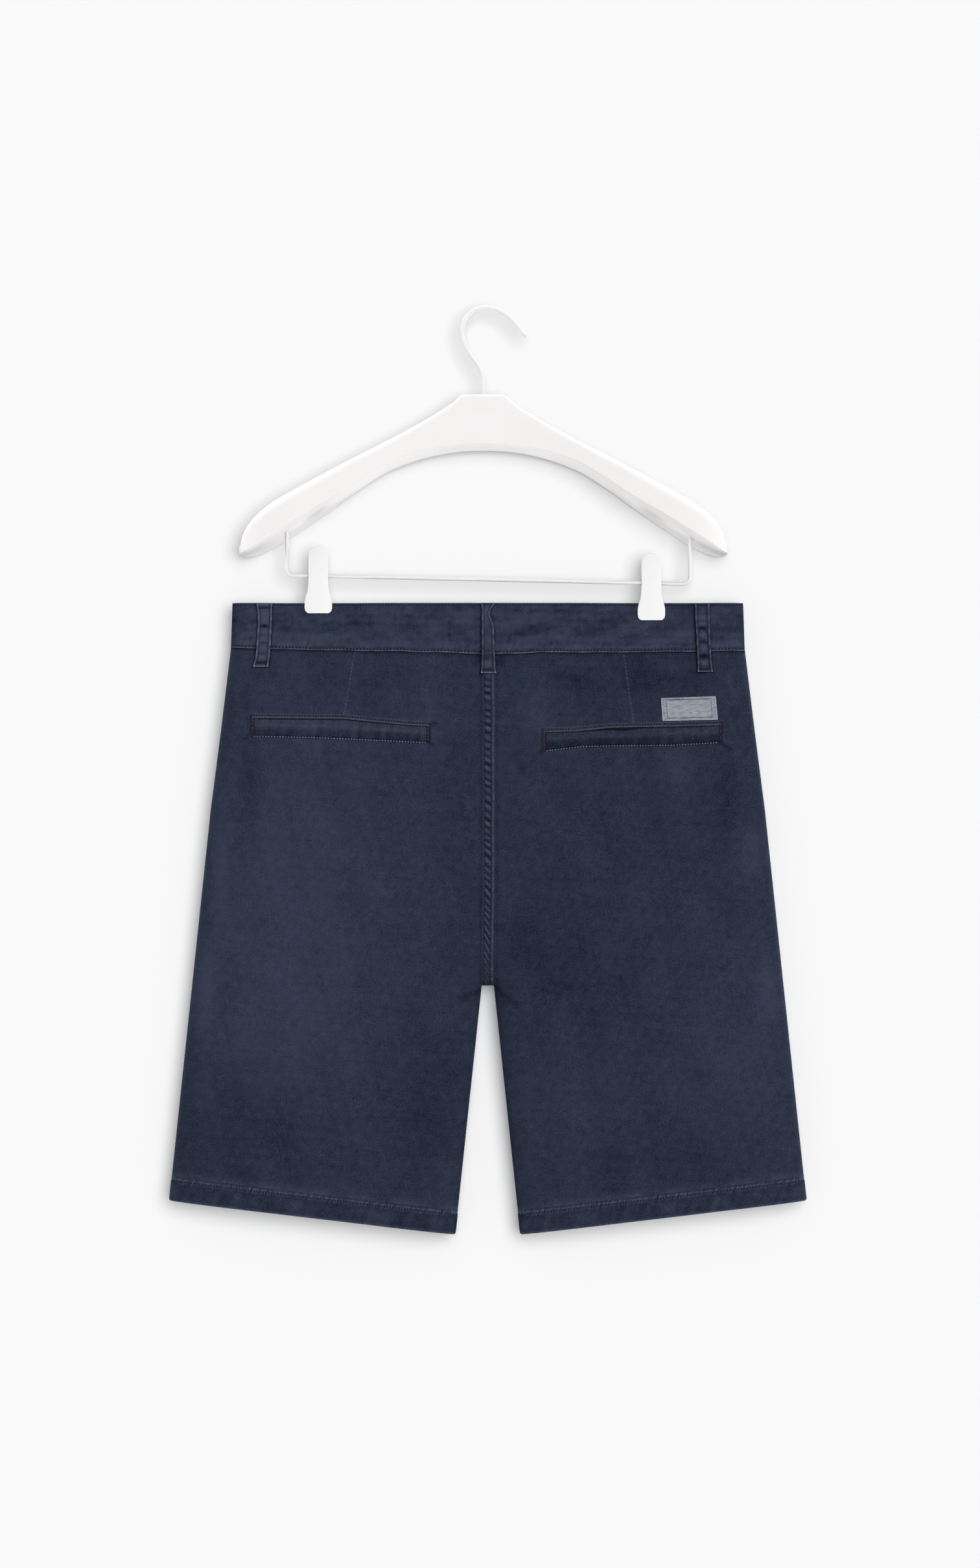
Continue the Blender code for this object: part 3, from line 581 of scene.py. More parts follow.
def washedTwill():       # cotton woven in fine diagonal ribs, then washed: matt, dry, paler on each ridge
    material, tree, shader = newMaterial(
        "washedTwill", Roughness=0.92, Sheen_Weight=0.1, Sheen_Roughness=0.5, Specular_IOR_Level=0.12,
        Sheen_Tint=linear("#8c98b8"))
    alongCloth = addNode(tree, "UVMap", uv_map="grain").outputs[0]
    inSpace = addNode(tree, "TexCoord").outputs["Object"]
    lean = (0, 0, math.radians(twill["ribAngle"]))
    turned = addNode(tree, "Mapping", {"Vector": alongCloth, "Rotation": lean})
    waveLength = 2 * math.pi / 20        # of the wave texture at a scale of 1
    ribs = addNode(tree, "TexWave", {
        "Vector": turned.outputs[0], "Scale": waveLength / (twill["ribSpacing"] * mm),
        "Distortion": 0.8, "Detail": 1.0, "Detail Scale": 3.0})
    # uneven fading, with painted light and shade on bulges, hollows and creases
    tone = addNode(tree, "Attribute", attribute_name="fadeAndPaintedLight").outputs["Fac"]
    height = addNode(tree, "Math", {0: ribs.outputs["Fac"], 1: 0.22}, operation="MULTIPLY").outputs[0]
    patterns = []        # each one's noise, its share of the tone and its share of the height
    for wide, high, share in ((twill["slubWidth"], twill["slubLength"], 0.22),
                              (twill["slubLength"], twill["slubWidth"], 0.18)):
        stretch = (1 / (wide * mm), 1 / (high * mm), 1)
        scaled = addNode(tree, "Mapping", {"Vector": alongCloth, "Scale": stretch})
        yarn = addNode(tree, "TexNoise", {"Vector": scaled.outputs[0], "Scale": 1.0, "Detail": 1.0})
        patterns.append((yarn, share, 0.4))
    for size, share in ((twill["grain"], 0.95), (twill["cloud"], 0.36), (twill["lint"], 1.3)):
        fibres = addNode(tree, "TexNoise", {
            "Vector": inSpace, "Scale": 1 / (size * mm), "Detail": 2.0, "Roughness": 0.6})
        patterns.append((fibres, share, 0.3))
    for noise, share, relief in patterns:
        offset = addNode(tree, "Math", {0: noise.outputs["Fac"], 1: 0.5}, operation="SUBTRACT").outputs[0]
        tone = addNode(tree, "Math", {0: offset, 1: share, 2: tone}, operation="MULTIPLY_ADD").outputs[0]
        lifted = addNode(
            tree, "Math", {0: noise.outputs["Fac"], 1: relief, 2: height}, operation="MULTIPLY_ADD")
        height = lifted.outputs[0]
    ribTone = addNode(
        tree, "Math", {0: ribs.outputs["Fac"], 1: 0.10, 2: tone}, operation="MULTIPLY_ADD", use_clamp=True)
    dyed = addNode(tree, "Mix", {
        0: ribTone.outputs[0], 6: linear(twill["deep"]), 7: linear(twill["pale"])}, data_type="RGBA")
    mottle = addNode(tree, "TexNoise", {"Vector": inSpace, "Scale": 1 / (twill["patch"] * mm), "Detail": 3.0})
    leaning = addNode(tree, "MapRange", {0: mottle.outputs["Fac"], 1: 0.36, 2: 0.64})
    tint = addNode(tree, "Mix", {
        0: leaning.outputs[0], 6: linear(twill["warm"]), 7: linear(twill["cool"])}, data_type="RGBA")
    dyed = addNode(tree, "Mix", {
        0: 1.0, 6: dyed.outputs[2], 7: tint.outputs[2]}, data_type="RGBA", blend_type="MULTIPLY")
    breakUp = addNode(tree, "TexNoise", {"Vector": inSpace, "Scale": 1 / (twill["rub"] * mm), "Detail": 2.0})
    patchy = addNode(tree, "MapRange", {0: breakUp.outputs["Fac"], 1: 0.3, 2: 0.62, 3: 0.35, 4: 1.0})
    # worn pale edges, with painted highlights along ridges and folded edges
    wearAndHighlight = addNode(tree, "Attribute", attribute_name="wearAndHighlight").outputs["Fac"]
    rubbed = addNode(tree, "Math", {0: wearAndHighlight, 1: patchy.outputs[0]}, operation="MULTIPLY", use_clamp=True)
    worn = addNode(tree, "Mix", {
        0: rubbed.outputs[0], 6: dyed.outputs[2], 7: linear(twill["fadedAndHighlight"])}, data_type="RGBA")
    # painted shade: the shade attribute darkens the cloth towards the groove colour
    shade = addNode(tree, "Attribute", attribute_name="shade").outputs["Fac"]
    sunk = addNode(tree, "Math", {0: shade, 1: 1.0}, operation="MULTIPLY", use_clamp=True)
    final = addNode(tree, "Mix", {
        0: sunk.outputs[0], 6: worn.outputs[2], 7: linear(twill["groove"])}, data_type="RGBA")
    tree.links.new(final.outputs[2], shader.inputs["Base Color"])
    weave = addNode(tree, "Bump", {"Strength": 0.55, "Distance": 0.00022, "Height": height})
    tree.links.new(weave.outputs[0], shader.inputs["Normal"])
    return material


def plainYarn(name, colour, paler, size, roughness):    # thread and tape: twisted polyester, slight sheen
    material, tree, shader = newMaterial(name, Roughness=roughness, Sheen_Weight=0.15, Specular_IOR_Level=0.2)
    inSpace = addNode(tree, "TexCoord").outputs["Object"]
    twist = addNode(tree, "TexNoise", {"Vector": inSpace, "Scale": 1 / (size * mm), "Detail": 2.0})
    shown = addNode(tree, "MapRange", {0: twist.outputs["Fac"], 1: 0.3, 2: 0.7})
    mixed = addNode(tree, "Mix", {0: shown.outputs[0], 6: linear(colour), 7: linear(paler)}, data_type="RGBA")
    tree.links.new(mixed.outputs[2], shader.inputs["Base Color"])
    strands = addNode(tree, "Bump", {"Strength": 0.5, "Distance": 0.0001, "Height": twist.outputs["Fac"]})
    tree.links.new(strands.outputs[0], shader.inputs["Normal"])
    return material


def labelSatin():        # woven polyester satin: long smooth floats that catch the light in fine level lines
    material, tree, shader = newMaterial(
        "labelSatin", Roughness=0.5, Sheen_Weight=0.2, Specular_IOR_Level=0.35)
    inSpace = addNode(tree, "TexCoord").outputs["Object"]
    stretched = addNode(tree, "Mapping", {"Vector": inSpace, "Scale": (1 / 0.006, 1 / 0.006, 1 / 0.0005)})
    floats = addNode(tree, "TexNoise", {"Vector": stretched.outputs[0], "Scale": 1.0, "Detail": 2.0})
    shown = addNode(tree, "MapRange", {0: floats.outputs["Fac"], 1: 0.3, 2: 0.7})
    woven = addNode(tree, "Mix", {
        0: shown.outputs[0], 6: linear("#868c98"), 7: linear("#a1a6b1")}, data_type="RGBA")
    # the shade attribute: dark woven lines, and painted shadow under the top border
    lines = addNode(tree, "Attribute", attribute_name="shade").outputs["Fac"]
    final = addNode(tree, "Mix", {0: lines, 6: woven.outputs[2], 7: linear("#3e4453")}, data_type="RGBA")
    tree.links.new(final.outputs[2], shader.inputs["Base Color"])
    relief = addNode(tree, "Bump", {"Strength": 0.5, "Distance": 0.00015, "Height": floats.outputs["Fac"]})
    tree.links.new(relief.outputs[0], shader.inputs["Normal"])
    return material


def smoothFinish(name, colour, dusty, size, depth, **finish):
    # a hard white surface: the colour shifts by a hair and the coat has the faint waviness of its making
    material, tree, shader = newMaterial(name, **finish)
    inSpace = addNode(tree, "TexCoord").outputs["Object"]
    broad = addNode(tree, "TexNoise", {"Vector": inSpace, "Scale": 1 / (40 * mm), "Detail": 3.0})
    mixed = addNode(tree, "Mix", {
        0: broad.outputs["Fac"], 6: linear(colour), 7: linear(dusty)}, data_type="RGBA")
    tree.links.new(mixed.outputs[2], shader.inputs["Base Color"])
    peel = addNode(tree, "TexNoise", {"Vector": inSpace, "Scale": 1 / (size * mm), "Detail": 2.0})
    rough = finish["Roughness"]
    gloss = addNode(tree, "MapRange", {0: peel.outputs["Fac"], 3: rough - 0.05, 4: rough + 0.06})
    tree.links.new(gloss.outputs[0], shader.inputs["Roughness"])
    wavy = addNode(tree, "Bump", {"Strength": 0.25, "Distance": depth * mm, "Height": peel.outputs["Fac"]})
    tree.links.new(wavy.outputs[0], shader.inputs["Normal"])
    return material


washedCotton = washedTwill()
# thread: the navy near black, also as painted shade of its holes; the faded and rubbed ones pale, partly as painted
# glints
darkThread = plainYarn("corespunThreadNavy", "#090c1a", "#161a2e", 0.4, 0.8)
tackThread = plainYarn("corespunThreadPlum", "#18131b", "#382e3a", 0.5, 0.8)
wornAndGlintThread = plainYarn("corespunThreadFadedAndGlint", "#414a61", "#6f7a93", 0.4, 0.8)
rubbedAndGlintThread = plainYarn("corespunThreadRubbedAndGlint", "#5b667f", "#8d98b0", 0.4, 0.8)
labelThread = plainYarn("overlockThreadGrey", "#a4aab4", "#ccd0d6", 0.4, 0.7)
# painted shadow: near black cloth for the shade in each pocket's gape
mouthShadowCloth = plainYarn("pocketMouthPaintedShadow", "#04070f", "#0a0f1d", 0.8, 0.95)
zipTape = plainYarn("zipTapeWoven", "#171b28", "#262c3d", 0.5, 0.8)
zipCoil = plainYarn("zipCoilNylon", "#1d2130", "#2f3548", 0.3, 0.45)
satin = labelSatin()
lacquer = smoothFinish(
    "lacqueredBeech", "#eeecec", "#eae8e7", 3.0, 0.05, Roughness=0.5, Specular_IOR_Level=0.35)
paintedSteel = smoothFinish(
    "powderCoatedSteel", "#eeeded", "#e9e8e8", 0.8, 0.02, Roughness=0.42, Specular_IOR_Level=0.4)
mouldedWhite = smoothFinish(
    "mouldedPolypropylene", "#f0f0f0", "#eeeeee", 1.2, 0.02, Roughness=0.5, Specular_IOR_Level=0.35)
buttonResin = smoothFinish(
    "polyesterButtonResin", "#1c2130", "#2b3144", 2.0, 0.03, Roughness=0.3, Specular_IOR_Level=0.5)
print("materials ready")


def finishPiece(obj, replaced=None):
    bpy.context.scene.collection.objects.link(obj)
    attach(obj, "root")
    if replaced:
        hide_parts(replaced)
    return obj


def pieceFrom(bm, name, material, replaced=None, sharp=None):       # a finished bmesh becomes a piece
    mesh = bpy.data.meshes.new(name)
    bm.to_mesh(mesh)
    bm.free()
    mesh.shade_smooth()
    if sharp:
        mesh.set_sharp_from_angle(angle=math.radians(sharp))
    mesh.materials.append(material)
    return finishPiece(bpy.data.objects.new(name, mesh), replaced)


def grainOf(points):              # mm along the cloth from its first column and row, for the weave
    across = np.linalg.norm(np.diff(points, axis=1), axis=2).cumsum(axis=1)
    down = np.linalg.norm(np.diff(points, axis=0), axis=2).cumsum(axis=0)
    u = np.pad(across, ((0, 0), (1, 0)))
    v = np.pad(down, ((1, 0), (0, 0)))
    return np.stack([u, v], axis=-1)


def clothPiece(name, points, thick, marks, material=None, replaced=None, kept=None,
               fullness=None, edge=0.3):
    # A sheet of cloth: a grid with each point put in its place, then given its thickness and softened rims
    rows, columns = points.shape[0] - 1, points.shape[1] - 1
    bm = bmesh.new()
    bmesh.ops.create_grid(bm, x_segments=columns, y_segments=rows, size=1.0)
    mesh = bpy.data.meshes.new(name)
    bm.to_mesh(mesh)
    bm.free()
    flat = np.empty(len(mesh.vertices) * 3)
    mesh.vertices.foreach_get("co", flat)
    flat = flat.reshape(-1, 3)
    row = np.rint((1 - flat[:, 1]) / 2 * rows).astype(int)
    column = np.rint((flat[:, 0] + 1) / 2 * columns).astype(int)
    mesh.vertices.foreach_set("co", (points[row, column] * mm).ravel())
    if fullness is not None:
        marks = {**marks, "fullness": fullness}
    for mark, values in marks.items():
        values = np.broadcast_to(values, points.shape[:2])[row, column].astype(np.float32)
        mesh.attributes.new(mark, "FLOAT", "POINT").data.foreach_set("value", values)
    corner = np.empty(len(mesh.loops), dtype=np.int32)
    mesh.loops.foreach_get("vertex_index", corner)
    grain = grainOf(points)[row, column][corner] * mm
    mesh.uv_layers.new(name="grain").data.foreach_set("uv", grain.ravel().astype(np.float32))
    if kept is not None:
        bm = bmesh.new()
        bm.from_mesh(mesh)
        bm.verts.ensure_lookup_table()
        away = [bm.verts[i] for i in np.flatnonzero(~kept[row, column])]
        bmesh.ops.delete(bm, geom=away, context="VERTS")
        bm.to_mesh(mesh)
        bm.free()
    mesh.shade_smooth()
    mesh.materials.append(material or washedCotton)
    obj = bpy.data.objects.new(name, mesh)
    shell = obj.modifiers.new("thickness", "SOLIDIFY")
    shell.thickness = thick * mm
    shell.offset = 0.0
    if fullness is not None:
        group = obj.vertex_groups.new(name="fullness")
        for i, spot in enumerate(mesh.attributes["fullness"].data):
            group.add([i], spot.value, "REPLACE")
        shell.vertex_group = "fullness"
    rim = obj.modifiers.new("rim", "BEVEL")
    rim.width = edge * mm
    rim.segments = 2
    rim.limit_method = "ANGLE"
    rim.angle_limit = math.radians(50)
    return finishPiece(obj, replaced=replaced)


def spacedSteps(length, fine, coarse, growth=1.35):    # shares of a length: close at first, then even
    steps = [0.0]
    step = fine
    while steps[-1] + step < length - step / 2:
        steps.append(steps[-1] + step)
        step = min(step * growth, coarse)
    return np.array(steps + [length]) / length


def evenSteps(first, last, spacing):
    return np.linspace(first, last, max(int(round((last - first) / spacing)), 1) + 1)


panels = {
    "spacing": 2.4,          # mm between columns and rows on the flat
    "hiddenSpacing": 3.0,    # the same on the front, which is turned away
    "seat": (57.0, 0.7),     # how wide the part between the centre and the leg is, and its first step
    "flat": 120.0,           # the same for the part that lies flat between the folded ones
    "foldFine": 0.3,
    "legSlope": 0.16,        # how fast the line above the inner leg leaves the centre seam
    "pocketRows": (90.0, 130.0, 1.3),         # from a drop to a drop, mm between rows
    "corner": 1.7,
}


def legLine(drop):
    above = np.maximum(cut["crotchDrop"] - cloth["panel"] / 2 - drop, 0)
    return legGap(drop) + cloth["panel"] / 2 + above * panels["legSlope"]


def centreEdge(drop, side, face):
    plain = cloth["gap"] / 2
    if face == front and side == left:
        return plain - (fly["lap"] + plain) * (1 - eased((drop - fly["drop"]) / fly["fade"]))
    return np.full_like(drop, plain)


def panelPoints(side, face):
    spacing = panels["spacing"] if face == back else panels["hiddenSpacing"]
    reach = cut["legReach"]
    seat = spacedSteps(*panels["seat"], spacing, 1.08)[:-1]
    folded = spacedSteps(reach, panels["foldFine"], spacing)
    between = evenSteps(0, 1, spacing / panels["flat"])
    zone = np.repeat([0, 1, 2, 3], [len(seat), len(folded) - 1, len(between) - 1, len(folded)])
    step = np.concatenate([seat, folded[:-1], between[:-1], folded[::-1]])
    even = np.concatenate([seat, np.linspace(0, 1, len(folded))[:-1], between[:-1], folded[::-1]])

    top = cut["seamBack"][4] + cloth["gap"]
    hem = cut["hemInnerDrop"] - cut["hemHeight"]
    crotch = cut["crotchDrop"] - cloth["panel"] / 2
    nearHem = 6.0        # the rows are close this far above and below the hem's line
    first, last, close = panels["pocketRows"]
    rows = [top + (first - top) * spacedSteps(first - top, 0.5, spacing)[:-1]]
    if face == back:
        rows.append(evenSteps(first, last, close)[:-1])
        rows.append(evenSteps(last, crotch - reach, spacing)[:-1])
    else:
        rows.append(evenSteps(first, crotch - reach, spacing)[:-1])
    rows.append(crotch - reach * folded[:0:-1])
    crotchRow = sum(len(part) for part in rows)
    rows.append(crotch + (hem - nearHem - crotch) * spacedSteps(hem - nearHem - crotch, 0.8, spacing)[:-1])
    rows.append(evenSteps(hem - nearHem, hem + nearHem, 0.6)[:-1])
    rows.append(evenSteps(hem + nearHem, cut["hemInnerDrop"] - 1.2, 1.8))
    rows.append(cut["hemInnerDrop"] - np.array([0.75, 0.4, 0.15, 0.0]))
    legDrop = np.concatenate(rows)[:, None] + np.zeros(len(step))

    def across(drop):
        start = legLine(drop)
        end = halfWidth(drop) - cloth["panel"] / 2
        nearSide = smoothCurve("fillReach", drop)
        roundness = eased((drop - cut["crotchDrop"] + 2 * reach) / reach)
        edge = centreEdge(drop, side, face)
        seatOut = edge + (start - edge) * step
        legOut = start + reach * (even * (1 - roundness) + step * roundness)
        flatOut = start + reach + (end - nearSide - start - reach) * step
        out = np.select([zone == 0, zone == 1, zone == 2], [seatOut, legOut, flatOut], end - nearSide * step)
        return out, np.clip((out - start) / (end - start), 0, 1)

    out, share = across(legDrop)
    sideTop = seamDrop(side * halfWidth(0.0), face) + cloth["gap"]
    down = (legDrop - top) / (cut["hemInnerDrop"] - top)
    sideDrop = sideTop + (cut["hemOuterDrop"] - sideTop) * down
    drop = legDrop + (sideDrop - legDrop) * share
    atTop = top + (sideTop - top) * share
    drop = drop + (seamDrop(side * out, face) + cloth["gap"] - atTop) * np.exp(-(legDrop - top) / 22)
    out = np.where(zone > 0, across(drop)[0], out)
    low = np.clip(1 - (drop[-1:] - drop) / panels["corner"], 0, 1)      # the hem's corners are turned round
    firstLeg = int(np.argmax(zone > 0))
    for near, way in ((out[:, -1:] - out, -1), (out - out[:, firstLeg:firstLeg + 1], 1)):
        close = np.clip(1 - near / panels["corner"], 0, 1) * (zone > 0)
        out = out + way * panels["corner"] * close * (1 - np.sqrt(1 - low ** 2 / 2))
        drop = drop - panels["corner"] * low * (1 - np.sqrt(1 - close ** 2 / 2))
    x = side * out
    kept = (np.arange(len(legDrop))[:, None] <= crotchRow) | (zone > 0)
    return x, drop, kept


for face, faceName in bothFaces:
    for side, sideName in bothSides:
        x, drop, kept = panelPoints(side, face)
        points = place(x, drop, face * panelMid(x, drop, face, side))
        fullness = panelThick(x, drop) / cloth["hem"]
        name = f"{faceName}_{sideName}"
        marks = panelMarks(x, drop, face, side)
        clothPiece(
            f"cloth_{name}", points, cloth["hem"], marks, replaced=name, kept=kept, fullness=fullness,
            edge=0.35)
print("panels sewn")


band = {                 # mm between columns and rows, and the lengths that they are shared over
    "spacing": 1.7,
    "flat": 200.0,
    "fold": 14.0,
    "foldFine": 0.3,
    "rowSpacing": 1.5,
    "halfHeight": 21.0,
    "edgeRows": 0.45,
}


def bandPoints(side):             # from the centre back round the side to the front
    flat = evenSteps(0, 1, band["spacing"] / band["flat"])
    folded = spacedSteps(band["fold"], band["foldFine"], band["spacing"])
    steps = [(back, "flat", share) for share in flat[:-1]]
    steps += [(back, "fold", share) for share in folded[::-1]]
    steps += [(front, "fold", share) for share in folded[1:]]
    steps += [(front, "flat", share) for share in flat[::-1][1:]]
    frontEnd = -fly["lap"] if side == left else -fly["bandUnder"]
    edge = spacedSteps(band["halfHeight"], band["edgeRows"], band["rowSpacing"]) / 2
    down = np.concatenate([edge, (1 - edge[::-1])[1:]])
    columns = []
    for face, kind, share in steps:
        def reachOut(drop):
            sideEdge = halfWidth(drop) - cloth["band"] / 2
            reach = smoothCurve("fillReach", drop)
            if kind == "fold":
                return sideEdge - reach * share
            start = cloth["gap"] / 2 if face == back else frontEnd
            return start + (sideEdge - reach - start) * share
        drop = seamDrop(side * reachOut(0.0), face) * down
        x = side * reachOut(drop)
        y = face * bandMid(x, drop, face, side)
        columns.append((x, drop, y, bandMarks(x, drop, face)))
    x, drop, y = (np.stack([column[i] for column in columns], axis=1) for i in range(3))
    marks = {mark: np.stack([column[3][mark] for column in columns], axis=1) for mark in columns[0][3]}
    return place(x, drop, y), marks


for side, sideName in bothSides:
    points, marks = bandPoints(side)
    name = f"waistband_{sideName}"
    clothPiece(f"cloth_{name}", points, cloth["band"], marks, replaced=name, edge=0.6)
print("waistband sewn")


loops = {                # each one's face, and its left and right edges down its length, mm
    "back_left": {
        "face": back,
        "drop": [0.3, 7.0, 17.0, 28.0, 38.0, 48.0, 51.5, 55.0],
        "left": [-199.3, -198.4, -197.9, -198.6, -199.3, -200.4, -201.4, -202.4],
        "right": [-186.1, -186.2, -186.4, -187.1, -187.6, -188.5, -189.1, -189.6],
        "tacks": [(4.2, 2.0), (51.4, 3.2)],       # drop and height of the bar tack's two rows
        "tone": 0.5,
        "worn": 0.9,
        "beside": (0.6, 0.85),                    # how dark the painted shadow lies along its left and right edges
        "patches": [(9.6, 1.6, 0.5), (14.4, 3.0, 0.7), (19.9, 1.5, -1.1), (24.5, 2.2, 0.5),
                    (27.6, 1.1, -0.4), (31.2, 1.6, 0.45), (34.6, 1.0, -0.5), (38.2, 1.6, 0.4),
                    (43.7, 1.2, -0.45), (46.8, 1.8, 0.65)],
    },
    "back_centre": {
        "face": back,
        "drop": [0.3, 2.4, 4.5, 6.6, 9.4, 11.5, 14.3, 16.4, 18.5, 21.3, 27.6, 38.1, 48.6, 57.7, 60.6],
        "left": [-5.4, -5.3, -5.2, -5.0, -5.0, -5.0, -5.0, -5.0, -5.0, -5.0, -5.0, -5.0, -5.1, -5.3, -5.9],
        "right": [6.0, 4.6, 3.2, 2.3, 1.6, 2.0, 2.8, 3.9, 4.7, 5.1, 5.3, 5.6, 6.1, 6.5, 7.0],
        "tacks": [(1.3, 2.0), (57.8, 2.8)],
        "tone": 0.22,
        "worn": 0.66,
        "beside": (1.0, 0.7),
        "patches": [(8.0, 4.0, 0.35), (16.0, 3.0, 0.2), (26.0, 3.5, -0.2), (33.0, 2.5, 0.15),
                    (41.0, 2.5, -0.3), (46.5, 2.5, -0.45), (52.6, 1.8, 0.55)],
    },
    "back_right": {
        "face": back,
        "drop": [0.3, 13.6, 24.1, 35.3, 46.5, 55.6, 59.4],
        "left": [178.9, 179.2, 179.9, 180.4, 180.9, 181.4, 181.2],
        "right": [191.0, 191.2, 191.4, 191.9, 192.6, 193.3, 193.9],
        "tacks": [(1.8, 2.0), (57.0, 2.8)],
        "tone": -0.04,
        "worn": 0.68,
        "beside": (0.95, 0.6),
        "patches": [(12.8, 1.7, 0.6), (18.2, 1.4, 0.6), (22.0, 1.5, -1.0), (27.6, 2.4, 0.5),
                    (33.8, 1.4, -0.5), (38.9, 2.2, 0.5), (45.6, 1.9, -0.9), (51.8, 2.0, 0.65)],
    },
    "front_left": {
        "face": front,
        "drop": [0.3, 30.0, 57.0],
        "left": [-110.4, -110.1, -110.5],
        "right": [-97.6, -97.4, -97.5],
        "tacks": [(3.6, 2.0), (54.0, 2.8)],
        "tone": 0.4,
        "worn": 0.8,
        "beside": (0.6, 0.6),
        "patches": [(14.0, 3.0, 0.5), (21.0, 1.5, -0.9), (30.0, 3.0, 0.4), (44.0, 2.0, -0.4)],
    },
    "front_right": {
        "face": front,
        "drop": [0.3, 30.0, 58.0],
        "left": [95.6, 95.8, 95.5],
        "right": [108.4, 108.2, 108.5],
        "tacks": [(3.6, 2.0), (55.0, 2.8)],
        "tone": 0.4,
        "worn": 0.8,
        "beside": (0.6, 0.6),
        "patches": [(13.0, 2.6, 0.5), (20.0, 1.5, -0.9), (32.0, 3.0, 0.4), (46.0, 2.0, -0.4)],
    },
}
loopFacts = {"bow": 0.9, "groove": 2.1, "crown": 0.35}


def loopX(name, drop, across):    # across is 0 at the loop's left edge and 1 at its right
    facts = loops[name]
    leftEdge = np.interp(drop, facts["drop"], facts["left"])
    return leftEdge + (np.interp(drop, facts["drop"], facts["right"]) - leftEdge) * across


def loopSurface(name):            # the middle of the loop's layer
    facts = loops[name]
    face, foot = facts["face"], facts["drop"][-1]
    top = float(loopX(name, 0.0, 0.5))
    side = sideOf(top, face)
    seamAt = float(seamDrop(top, face)) + 2
    onBand = (cloth["band"] + cloth["loop"]) / 2 + cloth["gap"]
    onPanel = cloth["loop"] / 2 + 1.5 * cloth["gap"]
    if name == "back_centre":
        onPanel = onPanel + 0.75

    def middle(x, drop):
        past = eased((drop - seamAt) / (foot - seamAt))
        over = (bandMid(x, np.minimum(drop, seamAt - 2), face, side) + onBand) * (1 - past)
        over = over + (panelOut(x, np.maximum(drop, seamAt - 1), face, side) + onPanel) * past
        bowed = np.sin(math.pi * np.clip(drop / foot, 0, 1)) ** 0.8
        return over + loopFacts["bow"] * bowed + 0.15 * waves(drop, 13, 7 + len(name))
    return middle


def beltLoop(name):
    facts = loops[name]
    face, foot = facts["face"], facts["drop"][-1]
    share = np.concatenate([[0, 0.006, 0.014], np.linspace(0.025, 0.975, 110), [0.986, 0.994, 1]])[:, None]
    across = np.concatenate([[0, 0.02], np.linspace(0.045, 0.955, 25), [0.98, 1]])[None, :]
    drop = cloth["gap"] + (foot - cloth["gap"]) * share + 0 * across
    x = loopX(name, drop, across) + 0.14 * waves(drop, 9, 5) * np.cos(math.pi * across)
    straight = loopX(name, np.full_like(drop, 30.0), 0.5) + (x - loopX(name, drop, 0.5)) * 0.3
    depth = loopSurface(name)(straight, drop)
    inward = np.minimum(x - loopX(name, drop, 0.0), loopX(name, drop, 1.0) - x)
    rightSide = across > 0.5
    seam = bump(inward - loopFacts["groove"], 0.55) * np.where(rightSide, 1.0, 0.45)
    crown = loopFacts["crown"] * (1 - (2 * across - 1) ** 2) - 0.34 * seam + 0.1 * bump(inward - 0.9, 0.6)
    centred = bump(across - 0.47, 0.27)
    tone = fadeAndPaintedLightTone(x, drop, face) + facts["tone"] + 0.26 * centred
    tone = tone + 0.16 * ripple(x, drop, 5, 151 + len(name))
    patchy, tacked = 0 * drop, 0 * drop
    for spotDrop, high, paler in facts["patches"]:
        patchy = patchy + paler * bump(drop - spotDrop, high) * centred
    for tackDrop, high in facts["tacks"]:
        tacked = tacked + bump(drop - tackDrop, high / 2) * eased((inward - 0.6) / 0.8)
        crown = crown - 0.25 * bump(drop - tackDrop, high / 1.6)
    edgeWear = np.clip(0.55 + 0.4 * waves(drop, 6, 153), 0.15, 1) * bump(inward - 0.5, 0.5)
    foldWear = 0.9 * bump(drop - foot + 0.3, 0.55) + 0.8 * bump(drop - foot + 0.8, 1.2) * bump(inward, 0.9)
    wearAndHighlight = edgeWear * facts["worn"] + foldWear + 0.3 * bump(drop - 1.2, 0.8) + 0.2 * np.clip(patchy, 0, 1)
    # painted shade along the sunk stitch grooves and at the bar tacks
    shade = 0.9 * seam * (1 - 0.3 * waves(drop, 5, 155)) + 0.9 * tacked - 0.8 * np.clip(patchy, -1, 0)
    marks = {"fadeAndPaintedLight": tone + patchy, "wearAndHighlight": wearAndHighlight * (1 - 0.8 * tacked), "shade": shade}
    return clothPiece(
        f"cloth_loop_{name}", place(x, drop, face * (depth + crown)), cloth["loop"], marks,
        replaced=f"loop_{name}", edge=0.4)


